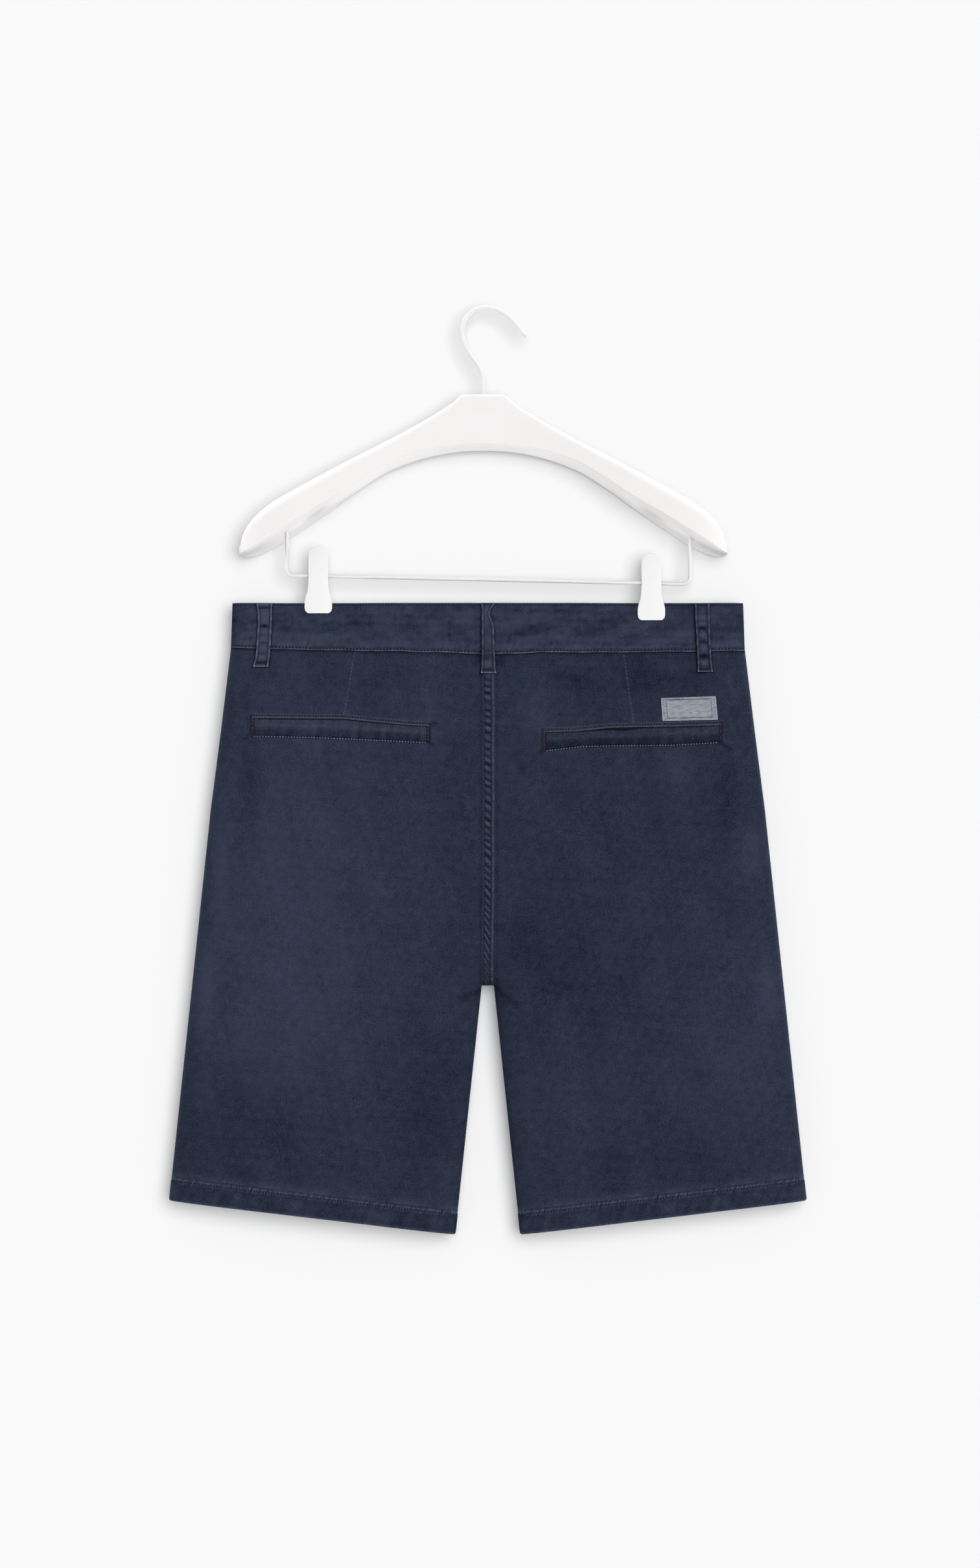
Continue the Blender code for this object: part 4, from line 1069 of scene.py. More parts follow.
def loopShadow(name):      # painted shadow on the cloth round a loop, close beside it and below its foot
    facts = loops[name]
    face, foot = facts["face"], facts["drop"][-1]
    seam = float(seamDrop(loopX(name, foot, 0.5), face))
    made = []
    for part, first, last in (("band", 0.8, seam - 0.3), ("panel", seam + 0.7, foot + 5.0)):
        drop = evenSteps(first, last, 0.55)[:, None] + 0 * np.linspace(0, 1, 47)
        reach = 4.6
        leftEdge, rightEdge = loopX(name, drop, 0.0), loopX(name, drop, 1.0)
        x = leftEdge - reach + (rightEdge - leftEdge + 2 * reach) * np.linspace(0, 1, 47)
        sides = [(sideOf(float(x[0, 23]), face), 1.0)]
        if name == "back_centre":         # it lies on both panels
            sides = [(left, 0.5), (right, 0.5)]
        if part == "band":
            depth = sum(share * (bandMid(x, drop, face, side) + cloth["band"] / 2) for side, share in sides)
            marks = bandMarks(x, drop, face)
        else:
            depth = sum(share * panelOut(x, drop, face, side) for side, share in sides)
            marks = panelMarks(x, drop, face, sides[0][0])
        past = np.maximum(drop - foot, 0)
        shadowLeft, shadowRight = (
            dark * bump(np.hypot(np.maximum(beside, 0), past), wide)
            for dark, beside, wide in zip(facts["beside"], (leftEdge - x, x - rightEdge), (1.7, 1.2)))
        marks["shade"] = marks["shade"] + np.where(x < (leftEdge + rightEdge) / 2, shadowLeft, shadowRight)
        rim = np.minimum(x - x[:, :1], x[:, -1:] - x)
        if part == "panel":
            rim = np.minimum(rim, last - drop)
        depth = depth + 0.1 - 0.5 * (1 - eased(rim / 1.2))
        made.append(clothPiece(
            f"shadow_beside_loop_{name}_{part}", place(x, drop, face * depth), 0.2, marks, edge=0.05))
    return made


for name in loops:
    beltLoop(name)
    loopShadow(name)
print("belt loops sewn")


def felledSeam():        # the folded edge, two sunk rows of stitches and the ropes between them
    drop = evenSteps(fell["first"], fell["last"], 0.85)[:, None]
    x = np.concatenate([fell["x"][:7], evenSteps(-2.1, 1.9, 0.5), fell["x"][9:]])[None, :]
    drift = -0.9 * eased((drop - 230) / 80) + 0.25 * waves(drop, 60, 3)
    lean = np.interp(drop, fell["leanDrop"], fell["lean"])
    phase = (drop - lean * x + 1.3 * waves(drop, 38, 4)) / fell["pitch"]
    shown = eased((drop - 60) / 6) * (1 - 0.6 * eased((drop - 300) / 24)) * (0.8 + 0.3 * waves(drop, 21, 8))
    strip = eased((x + 3.1) / 0.9) * (1 - eased((x - 1.9) / 0.9))
    rope = np.sin(2 * math.pi * phase) * shown * strip
    lift, wearAndHighlight, shade = (np.interp(x, fell["x"], fell[column]) for column in ("lift", "wearAndHighlight", "shade"))
    px = x + drift
    blend = 0.5 * panelOut(px, drop, back, left) + 0.5 * panelOut(px, drop, back, right)
    # the ropes: crests paler and troughs darker, from washing's fading and from painted light and shade
    marks = {
        "fadeAndPaintedLight": fadeAndPaintedLightTone(px, drop, back) + 0.4 * rope + 0.1 * strip,
        "wearAndHighlight": wearAndHighlight * (0.8 + 0.3 * waves(drop, 7, 9)) + 0.22 * np.clip(rope, 0, 1) ** 2,
        "shade": shade + 0.5 * np.clip(-rope, 0, 1),
    }
    depth = blend + lift - 0.25 + fell["rope"] * rope
    return clothPiece("felled_seam", place(px, drop + 0 * px, back * depth), 0.5, marks, edge=0.1), drift


fellCloth, fellDrift = felledSeam()


def pathPoints(path, spacing):    # evenly spaced points along a line, and how far along it each one is
    path = np.array(path, dtype=float)
    run = np.concatenate([[0], np.linalg.norm(np.diff(path, axis=0), axis=1).cumsum()])
    at = evenSteps(0, run[-1], spacing)
    x, drop = np.interp(at, run, path[:, 0]), np.interp(at, run, path[:, 1])
    return x, drop, at


def stripPiece(name, path, profile, surface, thick, look=None, spacing=1.2):
    # A narrow strip sewn along a line behind. The profile: offset across the line, lift, wear and painted highlight,
    # painted shade.
    x, drop, at = pathPoints(path, spacing)
    dx, dDrop = np.gradient(x), np.gradient(drop)
    length = np.hypot(dx, dDrop)
    dx, dDrop = dx / length, dDrop / length
    offset, lift, wearAndHighlight, shade = (np.array(column)[:, None] for column in zip(*profile))
    px, pDrop = x - dDrop * offset, drop + dx * offset
    depth = surface(px, pDrop) + lift
    marks = {"fadeAndPaintedLight": fadeAndPaintedLightTone(px, pDrop, back), "wearAndHighlight": wearAndHighlight + 0 * px, "shade": shade + 0 * px}
    marks = look(marks, px, pDrop, at) if look else marks
    return clothPiece(name, place(px, pDrop, back * depth), thick, marks, edge=0.12)


def dartLook(marks, px, pDrop, at):       # its thread shows as a broken line
    return {**marks, "wearAndHighlight": marks["wearAndHighlight"] * (0.6 + 0.5 * np.sin(at * 2 * math.pi / 3.2))}


lip = [                  # the panel's own folded edge over a pocket's mouth: offset, lift, wear and painted highlight, painted shadow in the slit
    (-5.4, -0.9, 0.0, 0.0), (-4.6, -0.4, 0.0, 0.0), (-3.8, -0.1, 0.08, 0.0), (-3.2, 0.02, 0.25, 0.1),
    (-2.7, -0.1, 0.1, 0.6), (-2.3, -0.2, 0.0, 0.8), (-1.9, -0.1, 0.0, 0.6), (-1.4, 0.15, 0.15, 0.1),
    (-0.8, 0.3, 0.25, 0.0), (-0.3, 0.34, 0.4, 0.0), (0.0, 0.24, 0.5, 0.1),
]
dart = [                 # the pressed fold that shapes the seat, from the waist seam to the pocket: painted highlight on one side, painted shadow on the other
    (-3.2, -0.8, 0.0, 0.0), (-2.4, -0.42, 0.0, 0.0), (-1.6, -0.24, 0.02, 0.0), (-0.9, -0.12, 0.06, 0.0),
    (-0.5, -0.04, 0.42, 0.0), (-0.2, -0.08, 0.34, 0.2), (0.1, -0.3, 0.0, 0.8), (0.4, -0.36, 0.0, 0.75),
    (0.9, -0.3, 0.0, 0.3), (1.6, -0.45, 0.0, 0.05), (2.4, -0.8, 0.0, 0.0),
]


def weltPiece(name, pocket, surface, x):  # a folded strip: its top edge stands free and its foot is sewn down
    side, (first, last) = pocket["side"], pocket["ends"]
    foot = pocketLine(pocket, "foot", x)
    top = pocketLine(pocket, "mouth", x) + pocketLine(pocket, "gape", x)
    down = spacedSteps(1.0, 0.02, 0.08, 1.3)[:, None]
    px = x + 0 * down
    drop = top + (foot + 1.0 - top) * down
    end = np.minimum(px - first, last - px)
    lift = 0.1 + 0.3 * bump(down, 0.2) * eased(end / 14) + 0.14 * waves(px + 0.5 * drop, 11, 161 + side)
    lift = lift - 0.25 * bump(drop - foot + 0.3, 0.6) - 0.2 * bump(end - 1.0, 1.2)
    tone = fadeAndPaintedLightTone(px, drop, back) - 0.32 - 0.06 * side
    tone = tone + 0.14 * waves(px + 0.2 * drop, 13, 165) + 0.08 * ripple(px, drop, 6, 166)
    wearAndHighlight = 0.14 * bump(down - 0.3, 0.2) + 0.1 * bump(down - 0.08, 0.06)
    # painted shade: the lip's shadow along the top edge, the sunk foot and the sewn ends
    shade = 0.7 * bump(drop - foot + 0.2, 0.6) + 0.8 * bump(end, 0.9) + 0.2 * bump(down, 0.06)
    marks = {"fadeAndPaintedLight": tone, "wearAndHighlight": wearAndHighlight, "shade": shade}
    points = place(px, drop, back * (surface(px, drop) + lift))
    return clothPiece(f"cloth_{name}", points, cloth["welt"], marks, replaced=name, edge=0.25)


def pocketMouthShadow(name, pocket, surface, x):       # painted shadow: a near black sheet behind the mouth, for the shade in its gape
    down = np.linspace(0, 1, 7)[:, None]
    drop = pocketLine(pocket, "mouth", x) - 1.6 + (pocketLine(pocket, "gape", x) + 3.2) * down
    points = place(x + 0 * down, drop, back * (surface(x + 0 * down, drop) + 0.06))
    marks = {"fadeAndPaintedLight": 0.0, "wearAndHighlight": 0.0, "shade": 1.0}
    return clothPiece(name, points, 0.2, marks, material=mouthShadowCloth, edge=0.05)


onPocket = {}
for pocket in pockets:
    sideName = pocket["name"]
    surface = panelFace(back, pocket["side"])
    first, last = pocket["ends"]
    x = evenSteps(first, last, 1.2)
    weltPiece(f"welt_{sideName}", pocket, surface, x)
    path = np.stack([np.linspace(first - 1, last + 1, len(x)), pocketLine(pocket, "mouth", x)], axis=1)
    onPocket[sideName] = [
        pocketMouthShadow(f"pocket_mouth_shadow_{sideName}", pocket, surface, x),
        stripPiece(f"pocket_lip_{sideName}", path, lip, surface, 0.5),
        stripPiece(f"dart_{sideName}", pocket["dart"], dart, surface, 0.5, dartLook, spacing=0.7),
    ]
print("pockets and darts sewn")


label = {
    "corners": [(149.3, 82.3), (196.5, 80.6), (198.3, 100.8), (150.5, 101.9)],
    "frame": (0.095, 0.905, 0.10, 0.88),      # shares of the width and height where its woven frame runs
    "size": (47.0, 20.0),
    "lift": 0.85,
    "cord": 1.5,
}


def labelPoint(across, down):     # x and drop at a share of the label's width and height
    a, b, c, d = (np.array(corner) for corner in label["corners"])
    across, down = np.asarray(across)[..., None], np.asarray(down)[..., None]
    spot = (a * (1 - across) + b * across) * (1 - down) + (d * (1 - across) + c * across) * down
    return spot[..., 0], spot[..., 1]


def labelFace(x, drop):
    return panelOut(x, drop, back, right) + label["lift"] + 0.16 * ripple(x, drop, 22, 171)


def labelPiece():        # a bare woven field in a ruled frame, with painted shadow under the top of its border and in a notch
    across, down = np.meshgrid(np.linspace(0, 1, 97), np.linspace(0, 1, 43))
    x, drop = labelPoint(across, down)
    x0, x1, d0, d1 = label["frame"]
    wide, high = label["size"]
    inFrame = (across > x0 - 0.01) & (across < x1 + 0.01) & (down > d0 - 0.02) & (down < d1 + 0.02)
    line = np.minimum(np.minimum(np.abs(across - x0), np.abs(across - x1)) * wide,
                      np.minimum(np.abs(down - d0), np.abs(down - d1)) * high)
    fromEdge = np.minimum(np.minimum(across, 1 - across) * wide, np.minimum(down, 1 - down) * high)
    brushed = 0.1 + 0.12 * ripple(x, drop * 5, 18, 172) + 0.16 * ripple(x, drop * 1.6, 7, 173)
    lines = 0.9 * bump(line, 0.32) * inFrame
    lines = lines + 0.55 * bump(fromEdge - 1.75, 0.35) * (0.6 + 0.4 * np.sin((x + drop) * 3.0))
    # painted shadow where the top of the border lifts, and in a notch beside it
    lifted = bump(drop - 82.9, 0.4) * (x > 151) * (x < 166) + bump(x - 168.2, 1.5) * bump(drop - 81.6, 1.1)
    marks = {"fadeAndPaintedLight": 0.5, "wearAndHighlight": 0.0, "shade": np.clip(brushed + lines + 1.4 * lifted, 0, 1)}
    points = place(x, drop, back * (labelFace(x, drop) + 0.15 * eased(fromEdge / 2.5)))
    return clothPiece(
        "cloth_label", points, cloth["label"], marks, material=satin, replaced="label",
        edge=0.2)


labelPiece()
print("label sewn")


threads = {}             # stitches wait here by piece and thread, and each lot is made as one mesh


def raised(surface, by):          # a surface moved outwards
    return lambda x, drop: surface(x, drop) + by


def sewLine(lot, thread, surface, face, path, pitch, size, sunk=0.1, turn=0.0, zigzag=0.0, jitter=0.06,
            start=0.5):
    # size is a stitch's length, width and height in mm. turn lays each one across the line, by degrees.
    x, drop, at = pathPoints(path, 0.5)
    draw = random.Random(len(threads) * 7 + int(abs(x[0]) * 10))
    count = max(int(round(at[-1] / pitch)), 1)
    for i in range(count):
        here = (i + start) * at[-1] / count + draw.uniform(-jitter, jitter) * pitch
        near = [here, here + 0.4, here - 0.4]
        sx, sDrop = np.interp(near, at, x), np.interp(near, at, drop)
        along = Vector((sx[1] - sx[2], 0, -(sDrop[1] - sDrop[2]))).normalized()
        xs = np.array([sx[0], sx[0] + 0.5, sx[0] - 0.5, sx[0], sx[0]])
        drops = np.array([sDrop[0], sDrop[0], sDrop[0], sDrop[0] + 0.5, sDrop[0] - 0.5])
        y = face * surface(xs, drops)
        normal = Vector((-(y[1] - y[2]), 1.0, (y[3] - y[4]))).normalized() * face
        along = (along - normal * along.dot(normal)).normalized()
        swing = math.radians(turn + zigzag * (1 if i % 2 else -1) + draw.uniform(-4, 4))
        along = Matrix.Rotation(swing, 3, normal) @ along
        across = normal.cross(along)
        spot = Vector((centreX + xs[0], y[0], waistTop - drops[0])) + normal * (size[2] / 2 - sunk)
        scale = 1 + draw.uniform(-0.2, 0.2)
        broad = 1 + draw.uniform(-0.18, 0.18)
        stitch = Matrix((along * size[0] / 2 * scale, across * size[1] / 2 * broad, normal * size[2] / 2))
        stitch = stitch.transposed().to_4x4()
        stitch.translation = spot
        threads.setdefault((lot, thread), []).append(stitch)


stitchKinds = {          # dark thread, near black also as painted shade of its sunk holes, and a painted glint of paler thread between the needle holes: mm
    "bold": {"dark": (1.9, 1.95, 0.85), "worn": (0.55, 0.75, 0.35), "sunk": 0.24, "pitch": 2.9},
    "edge": {"dark": (1.6, 1.7, 0.8), "worn": (0.5, 0.65, 0.35), "sunk": 0.24, "pitch": 2.45},
    "mouth": {"dark": (1.5, 1.8, 0.75), "worn": (0.65, 0.75, 0.4), "sunk": 0.16, "pitch": 2.44},
    "pale": {"dark": (1.2, 1.3, 0.5), "worn": (1.45, 1.05, 0.7), "sunk": 0.12, "pitch": 2.44},
    "fine": {"dark": (1.5, 1.1, 0.5), "worn": (1.15, 0.75, 0.45), "sunk": 0.1, "pitch": 2.5},
    "inner": {"dark": (2.0, 0.95, 0.5), "worn": (0.8, 0.55, 0.35), "sunk": 0.26, "pitch": 2.8},
}


def sewnLine(lot, surface, face, path, kind, shows="worn"):
    facts = stitchKinds[kind]
    pitch, sunk = facts["pitch"], facts["sunk"]
    sewLine(lot, "dark", surface, face, path, pitch, facts["dark"], sunk=sunk)
    sewLine(lot, shows, surface, face, path, pitch, facts["worn"], sunk=sunk * 0.6, start=0.0)


def tack(lot, surface, face, path, width, thread="dark"):     # a bar tack: close stitches laid across
    sewLine(lot, thread, surface, face, path, 0.62, (width, 0.5, 0.55), turn=84, zigzag=9)


def curvePath(function, first, last, spacing=4.0):
    x = evenSteps(first, last, spacing)
    return np.stack([x, function(x)], axis=1)


bandEnds = {             # where the rows of stitches start and end on each half
    back: ((-219, -0.6, left), (0.6, 218.5, right)),
    front: ((-218.5, 2.2, left), (3.6, 219, right)),
}
for face, lot in bothFaces:
    for first, last, side in bandEnds[face]:
        surface = bandFace(face, side)
        topRow = curvePath(lambda x: stitchDrop["bandTop"] + 0 * x, first, last)
        seamRow = curvePath(lambda x: seamDrop(x, face) - stitchDrop["bandSeam"], first, last)
        sewnLine(f"waistband_{lot}", surface, face, topRow, "edge")
        sewnLine(f"waistband_{lot}", surface, face, seamRow, "bold")
    for side in (left, right):
        path = curvePath(hemLine, cut["hemInnerHalf"] + 0.2, cut["sideHalf"][-1] - 3.2)
        sewnLine(f"hems_{lot}", panelFace(face, side), face, path * np.array([side, 1]), "fine")
print("bands and hems stitched")


def hemLook(marks, px, pDrop, at):        # the hem's fold: paler and darker by turns, painted light and shade for sewing's puckers, and rubbed by washing
    spread = np.clip(0.75 + 0.4 * waves(px, 30, 137), 0.2, 1.1)
    paintedPucker = waves(at + 0.45 * (pDrop - hemEdge(px)), 4.4, 138)
    return {
        "fadeAndPaintedLight": marks["fadeAndPaintedLight"] + 0.12 * paintedPucker,
        "wearAndHighlight": marks["wearAndHighlight"] * spread * (0.75 + 0.5 * paintedPucker),
        "shade": marks["shade"] * (0.8 + 0.3 * waves(at, 9, 139)),
    }


# the hem's ridge: offset, lift, wear and painted highlight on the ridge, painted shade in the stitch groove
hemRidge = [
    (-4.4, -0.6, 0.0, 0.0), (-3.6, -0.05, 0.0, 0.0), (-2.8, 0.06, 0.04, 0.0), (-2.1, 0.16, 0.2, 0.0),
    (-1.6, 0.26, 0.42, 0.0), (-1.1, 0.22, 0.36, 0.0), (-0.7, 0.08, 0.06, 0.3), (-0.3, 0.0, 0.0, 0.8),
    (0.1, 0.0, 0.0, 0.85), (0.5, 0.04, 0.0, 0.4), (1.0, 0.1, 0.1, 0.0), (1.7, 0.08, 0.06, 0.0),
    (2.5, 0.0, 0.0, 0.0), (3.2, -0.6, 0.0, 0.0),
]
hemStrips = {}
for side, sideName in bothSides:
    ends = sorted(side * reach for reach in (cut["hemInnerHalf"] + 4.0, cut["sideHalf"][-1] - 6.0))
    path = curvePath(hemLine, *ends)
    hemStrips[sideName] = stripPiece(
        f"hem_ridge_{sideName}", path, hemRidge, panelFace(back, side), 0.3, hemLook, spacing=0.9)

for pocket in pockets:
    lot = f"pocket_{pocket['name']}"
    surface = panelFace(back, pocket["side"])
    onTack = raised(surface, 0.2)
    first, last = pocket["ends"]
    top = curvePath(lambda x: pocketLine(pocket, "mouth", x) - 2.3, first - 1, last + 1)
    foot = curvePath(lambda x: pocketLine(pocket, "foot", x) + 0.6, first + 1, last - 0.5)
    sewnLine(lot, raised(surface, 0.1), back, top, "mouth")
    sewnLine(lot, raised(surface, 0.4), back, foot, "pale", "rubbed")
    for x, way in zip(pocket["tacks"], (-1, 1)):          # each end is closed by a rounded double row
        low = float(pocketLine(pocket, "mouth", x)) - 3.0
        high = float(pocketLine(pocket, "foot", x)) + 0.8
        middle = (low + high) / 2
        outer = [(x + way * 0.2, low - 0.2), (x + way * 1.4, low + 1.2), (x + way * 1.6, middle),
                 (x + way * 1.4, high - 1.6), (x - way * 0.4, high + 0.2)]
        inner = [(x - way * 1.5, low + 2.2), (x - way * 1.3, middle), (x - way * 1.6, high - 1.6)]
        between = [(x, low + 0.8), (x + way * 0.2, middle), (x, high - 1.2)]
        rubbed = [(x, low + 1.6), (x, high - 2.0)]
        sewLine(lot, "dark", onTack, back, outer, 1.3, (1.7, 1.25, 0.7))
        sewLine(lot, "dark", onTack, back, inner, 1.3, (1.7, 1.1, 0.6))
        sewLine(lot, "plum", onTack, back, between, 0.95, (1.5, 0.7, 0.7), turn=55, zigzag=12)
        sewLine(lot, "worn", onTack, back, rubbed, 2.7, (0.8, 0.6, 0.9), jitter=0.3)
    fold = [(px - 0.4, pDrop) for px, pDrop in pocket["dart"]]
    sewLine(lot, "worn", surface, back, fold, 1.9, (0.75, 0.3, 0.25), sunk=0.22, jitter=0.3)
    end = Vector(pocket["dart"][1])
    knot = [(end.x - 0.6, end.y - 2.4), (end.x + 0.3, end.y + 0.6)]
    sewLine(lot, "worn", onTack, back, knot, 0.9, (1.1, 0.5, 0.5), turn=30, zigzag=35)

down = np.linspace(fell["first"], fell["last"], len(fellDrift))
for line in fell["sewn"]:
    path = [(line + float(np.interp(d, down, fellDrift[:, 0])), d) for d in np.linspace(60.0, 327.0, 60)]
    sewnLine("centre_seam", raised(panelFace(back, right), 0.28), back, path, "inner")
sideTack = [(220.2, 94.4), (227.6, 95.0)]
sewLine("side_tacks", "worn", panelFace(back, right), back, sideTack, 1.9, (1.4, 0.55, 0.4))
print("pockets and centre seam stitched")

for name, facts in loops.items():
    face, foot = facts["face"], facts["drop"][-1]
    surface = raised(loopSurface(name), cloth["loop"] / 2 + 0.1)
    lot = f"loop_{name}"
    for edge, way in ((0.0, 1), (1.0, -1)):
        down = np.linspace(6.0, foot - 4.5, 14)
        path = [(float(loopX(name, d, edge)) + way * loopFacts["groove"], d) for d in down]
        if name != "back_centre" or way == 1:
            sewLine(lot, "dark", surface, face, path, 2.6, (1.7, 0.55, 0.4), sunk=0.22)
    for share in (0.04, 0.97):        # pale dots at the folded foot's corners: rubbed cloth, with a painted highlight
        spot = (float(loopX(name, foot, share)), foot - 0.6)
        sewLine(lot, "rubbed", surface, face, [spot, (spot[0] + 0.5, spot[1] + 0.5)], 0.7, (1.2, 0.9, 0.7))
    for at, high in facts["tacks"]:
        for row in (-0.25, 0.25):
            ends = [(float(loopX(name, at, share)), at + row * high) for share in (0.12, 0.88)]
            tack(lot, surface, face, ends, high * 0.55, "plum")


def labelLine(x0, d0, x1, d1):    # a closed line on the label, by shares of its width and height
    corners = ((x0, d0), (x1, d0), (x1, d1), (x0, d1), (x0, d0))
    return [tuple(float(part) for part in labelPoint(across, down)) for across, down in corners]


labelTop = raised(labelFace, cloth["label"] / 2)
sewLine("label", "cord", labelTop, back, labelLine(0.012, 0.02, 0.988, 0.98), 0.85,
        (label["cord"], 0.62, 0.5), turn=90, zigzag=34, jitter=0.0)
sewLine("label", "dark", labelTop, back, labelLine(0.05, 0.11, 0.95, 0.9), 2.1, (1.1, 0.35, 0.3), sunk=0.12)

# The hidden front, plainly: the fly's curved stitching, its tacks, and side pockets set in the seams
flyEdge = -33.0
flyPath = [(flyEdge, 41.5), (flyEdge, 128.0)]
flyPath += [(flyEdge + 30 * (1 - math.cos(a)), 128 + 38 * math.sin(a)) for a in np.linspace(0.15, 1.35, 9)]
frontLeft = panelFace(front, left)
frontRight = panelFace(front, right)
sewnLine("fly", frontLeft, front, flyPath, "bold")
tack("fly", frontLeft, front, [(-6.0, 166.0), (2.0, 166.0)], 1.8)
tack("fly", frontLeft, front, [(-16.0, 150.0), (-9.0, 158.0)], 1.6)
for side, surface in ((left, frontLeft), (right, frontRight)):
    mouth = [(side * (float(halfWidth(d)) - 9.0), d) for d in (95.0, 150.0, 205.0, 250.0)]
    sewnLine("front_pockets", surface, front, mouth, "mouth")
    for d in (95.0, 250.0):
        reach = float(halfWidth(d))
        tack("front_pockets", surface, front, [(side * (reach - 9.5), d), (side * (reach - 2.0), d)], 1.6)


threadKinds = {
    "dark": darkThread, "plum": tackThread, "worn": wornAndGlintThread, "rubbed": rubbedAndGlintThread, "cord": labelThread,
}


def makeThreads(batch=120):
    made = {}
    for (lot, thread), stitches in threads.items():
        mesh = bpy.data.meshes.new(f"stitches_{lot}_{thread}")
        whole = bmesh.new()
        for first in range(0, len(stitches), batch):      # a few at a time, which is much quicker
            bm = bmesh.new()
            for stitch in stitches[first:first + batch]:
                matrix = Matrix.Scale(mm, 4) @ stitch
                bmesh.ops.create_uvsphere(bm, u_segments=6, v_segments=4, radius=1.0, matrix=matrix)
            bmesh.ops.recalc_face_normals(bm, faces=bm.faces)
            bm.to_mesh(mesh)
            bm.free()
            whole.from_mesh(mesh)
        whole.to_mesh(mesh)
        whole.free()
        mesh.shade_smooth()
        mesh.materials.append(threadKinds[thread])
        obj = bpy.data.objects.new(mesh.name, mesh)
        finishPiece(obj)
        made.setdefault(lot, []).append(obj)
    return made


stitched = makeThreads()
print("stitches made:", sum(len(lot) for lot in threads.values()))


zipFacts = {
    "halfWidth": 11.5,
    "top": 47.0,
    "thick": 1.0,
    "clear": 0.35,       # from the front panel's inside
    "toothPitch": 2.0,
    "toothMargin": 3.0,  # bare tape at each end
    "toothSet": 0.6,     # how far the teeth stand inwards from the tape's middle
    "teeth": (3.2, 0.9, 0.9),
}


def zipMid(x, drop):              # the middle of its tape, inside the front
    under = (cloth["panel"] + zipFacts["thick"]) / 2 + zipFacts["clear"] - cloth["gap"]
    return halfDepth(x, drop, front, cloth["panel"] / 2) - under


def zipTeeth():
    bm = bmesh.new()
    long, wide, high = (value * mm / 2 for value in zipFacts["teeth"])
    margin, pitch = zipFacts["toothMargin"], zipFacts["toothPitch"]
    for i in range(int((fly["drop"] - zipFacts["top"] - 2 * margin) / pitch)):
        drop = zipFacts["top"] + margin + i * pitch
        spot = place(0.0, drop, float(zipMid(np.array(0.0), np.array(drop))) - zipFacts["toothSet"]) * mm
        matrix = Matrix.Translation(Vector(spot)) @ Matrix.Diagonal((long, high, wide, 1.0))
        bmesh.ops.create_uvsphere(bm, u_segments=8, v_segments=5, radius=1.0, matrix=matrix)
    return pieceFrom(bm, "fly_zip_coil", zipCoil)


down, across = np.meshgrid(np.linspace(0, 1, 60), np.linspace(-1, 1, 17), indexing="ij")
x, drop = across * zipFacts["halfWidth"], zipFacts["top"] + (fly["drop"] - zipFacts["top"]) * down
clothPiece(
    "cloth_fly_zip", place(x, drop, zipMid(x, drop)), zipFacts["thick"],
    {"fadeAndPaintedLight": 0.5, "wearAndHighlight": 0.0, "shade": 0.0}, material=zipTape, replaced="fly_zip", edge=0.2)
coil = zipTeeth()


button = {"x": -13.0, "drop": 20.5, "radius": 8.0, "thick": 2.6, "dish": 5.4, "holes": 1.7}


def latheTurned(outline, axis, steps, closed=False):
    bm = bmesh.new()
    verts = [bm.verts.new(point) for point in outline]
    pairs = list(zip(verts, verts[1:] + verts[:1])) if closed else list(zip(verts, verts[1:]))
    edges = [bm.edges.new(pair) for pair in pairs]
    bmesh.ops.spin(
        bm, geom=verts + edges, axis=axis, cent=(0, 0, 0), angle=2 * math.pi, steps=steps, use_merge=True)
    bmesh.ops.remove_doubles(bm, verts=bm.verts, dist=0.001)
    bmesh.ops.recalc_face_normals(bm, faces=bm.faces)
    return bm


def turnedButton():      # a resin button: a raised rim round a shallow dish
    surface = float(bandMid(np.array(button["x"]), np.array(button["drop"]), front, left)) + cloth["band"] / 2
    low = surface + 0.35
    r, t = button["radius"], button["thick"]
    profile = [(0.0, 0.2), (r - 1.2, 0.0), (r - 0.3, 0.5), (r, 1.2), (r - 0.3, t - 0.4), (r - 1.0, t),
               (r - 1.7, t - 0.15), (button["dish"], t - 0.9), (0.0, t - 1.05)]
    bm = latheTurned([(radius, 0.0, height) for radius, height in profile], (0, 0, 1), 48)
    # its flat back to the cloth, its dish to +Y
    bmesh.ops.rotate(bm, matrix=Matrix.Rotation(-math.pi / 2, 3, "X"), verts=bm.verts)
    bmesh.ops.translate(bm, vec=Vector(place(button["x"], button["drop"], low)), verts=bm.verts)
    bmesh.ops.scale(bm, vec=(mm, mm, mm), verts=bm.verts)
    dished = low + t - 1.0
    for dx in (-1, 1):
        for way in (-1, 1):
            hole = button["x"] + dx * button["holes"]
            path = [(hole, button["drop"] + way * button["holes"]), (hole, button["drop"])]
            sewLine("button", "worn", lambda x, drop: 0 * x + dished, front, path, 1.7, (2.2, 0.6, 0.7))
    return pieceFrom(bm, "trouser_button", buttonResin, "button")


threads.clear()
turnedButton()
makeThreads()
print("fly, zip and button made")


def ringedPiece(name, rings, material, replaced=None, sharp=None):
    # A closed shape through rings of points, the rows of a grid. Its seam is merged and its ends are filled.
    rings = np.array(rings)
    rows, columns = rings.shape[0] - 1, rings.shape[1] - 1
    bm = bmesh.new()
    bmesh.ops.create_grid(bm, x_segments=columns, y_segments=rows, size=1.0)
    for vert in bm.verts:
        row = round((1 - vert.co.y) / 2 * rows)
        column = round((vert.co.x + 1) / 2 * columns)
        vert.co = Vector(rings[row, column]) * mm
    bmesh.ops.remove_doubles(bm, verts=bm.verts, dist=0.01 * mm)
    bmesh.ops.holes_fill(bm, edges=bm.edges, sides=0)
    bmesh.ops.recalc_face_normals(bm, faces=bm.faces)
    return pieceFrom(bm, name, material, replaced, sharp)


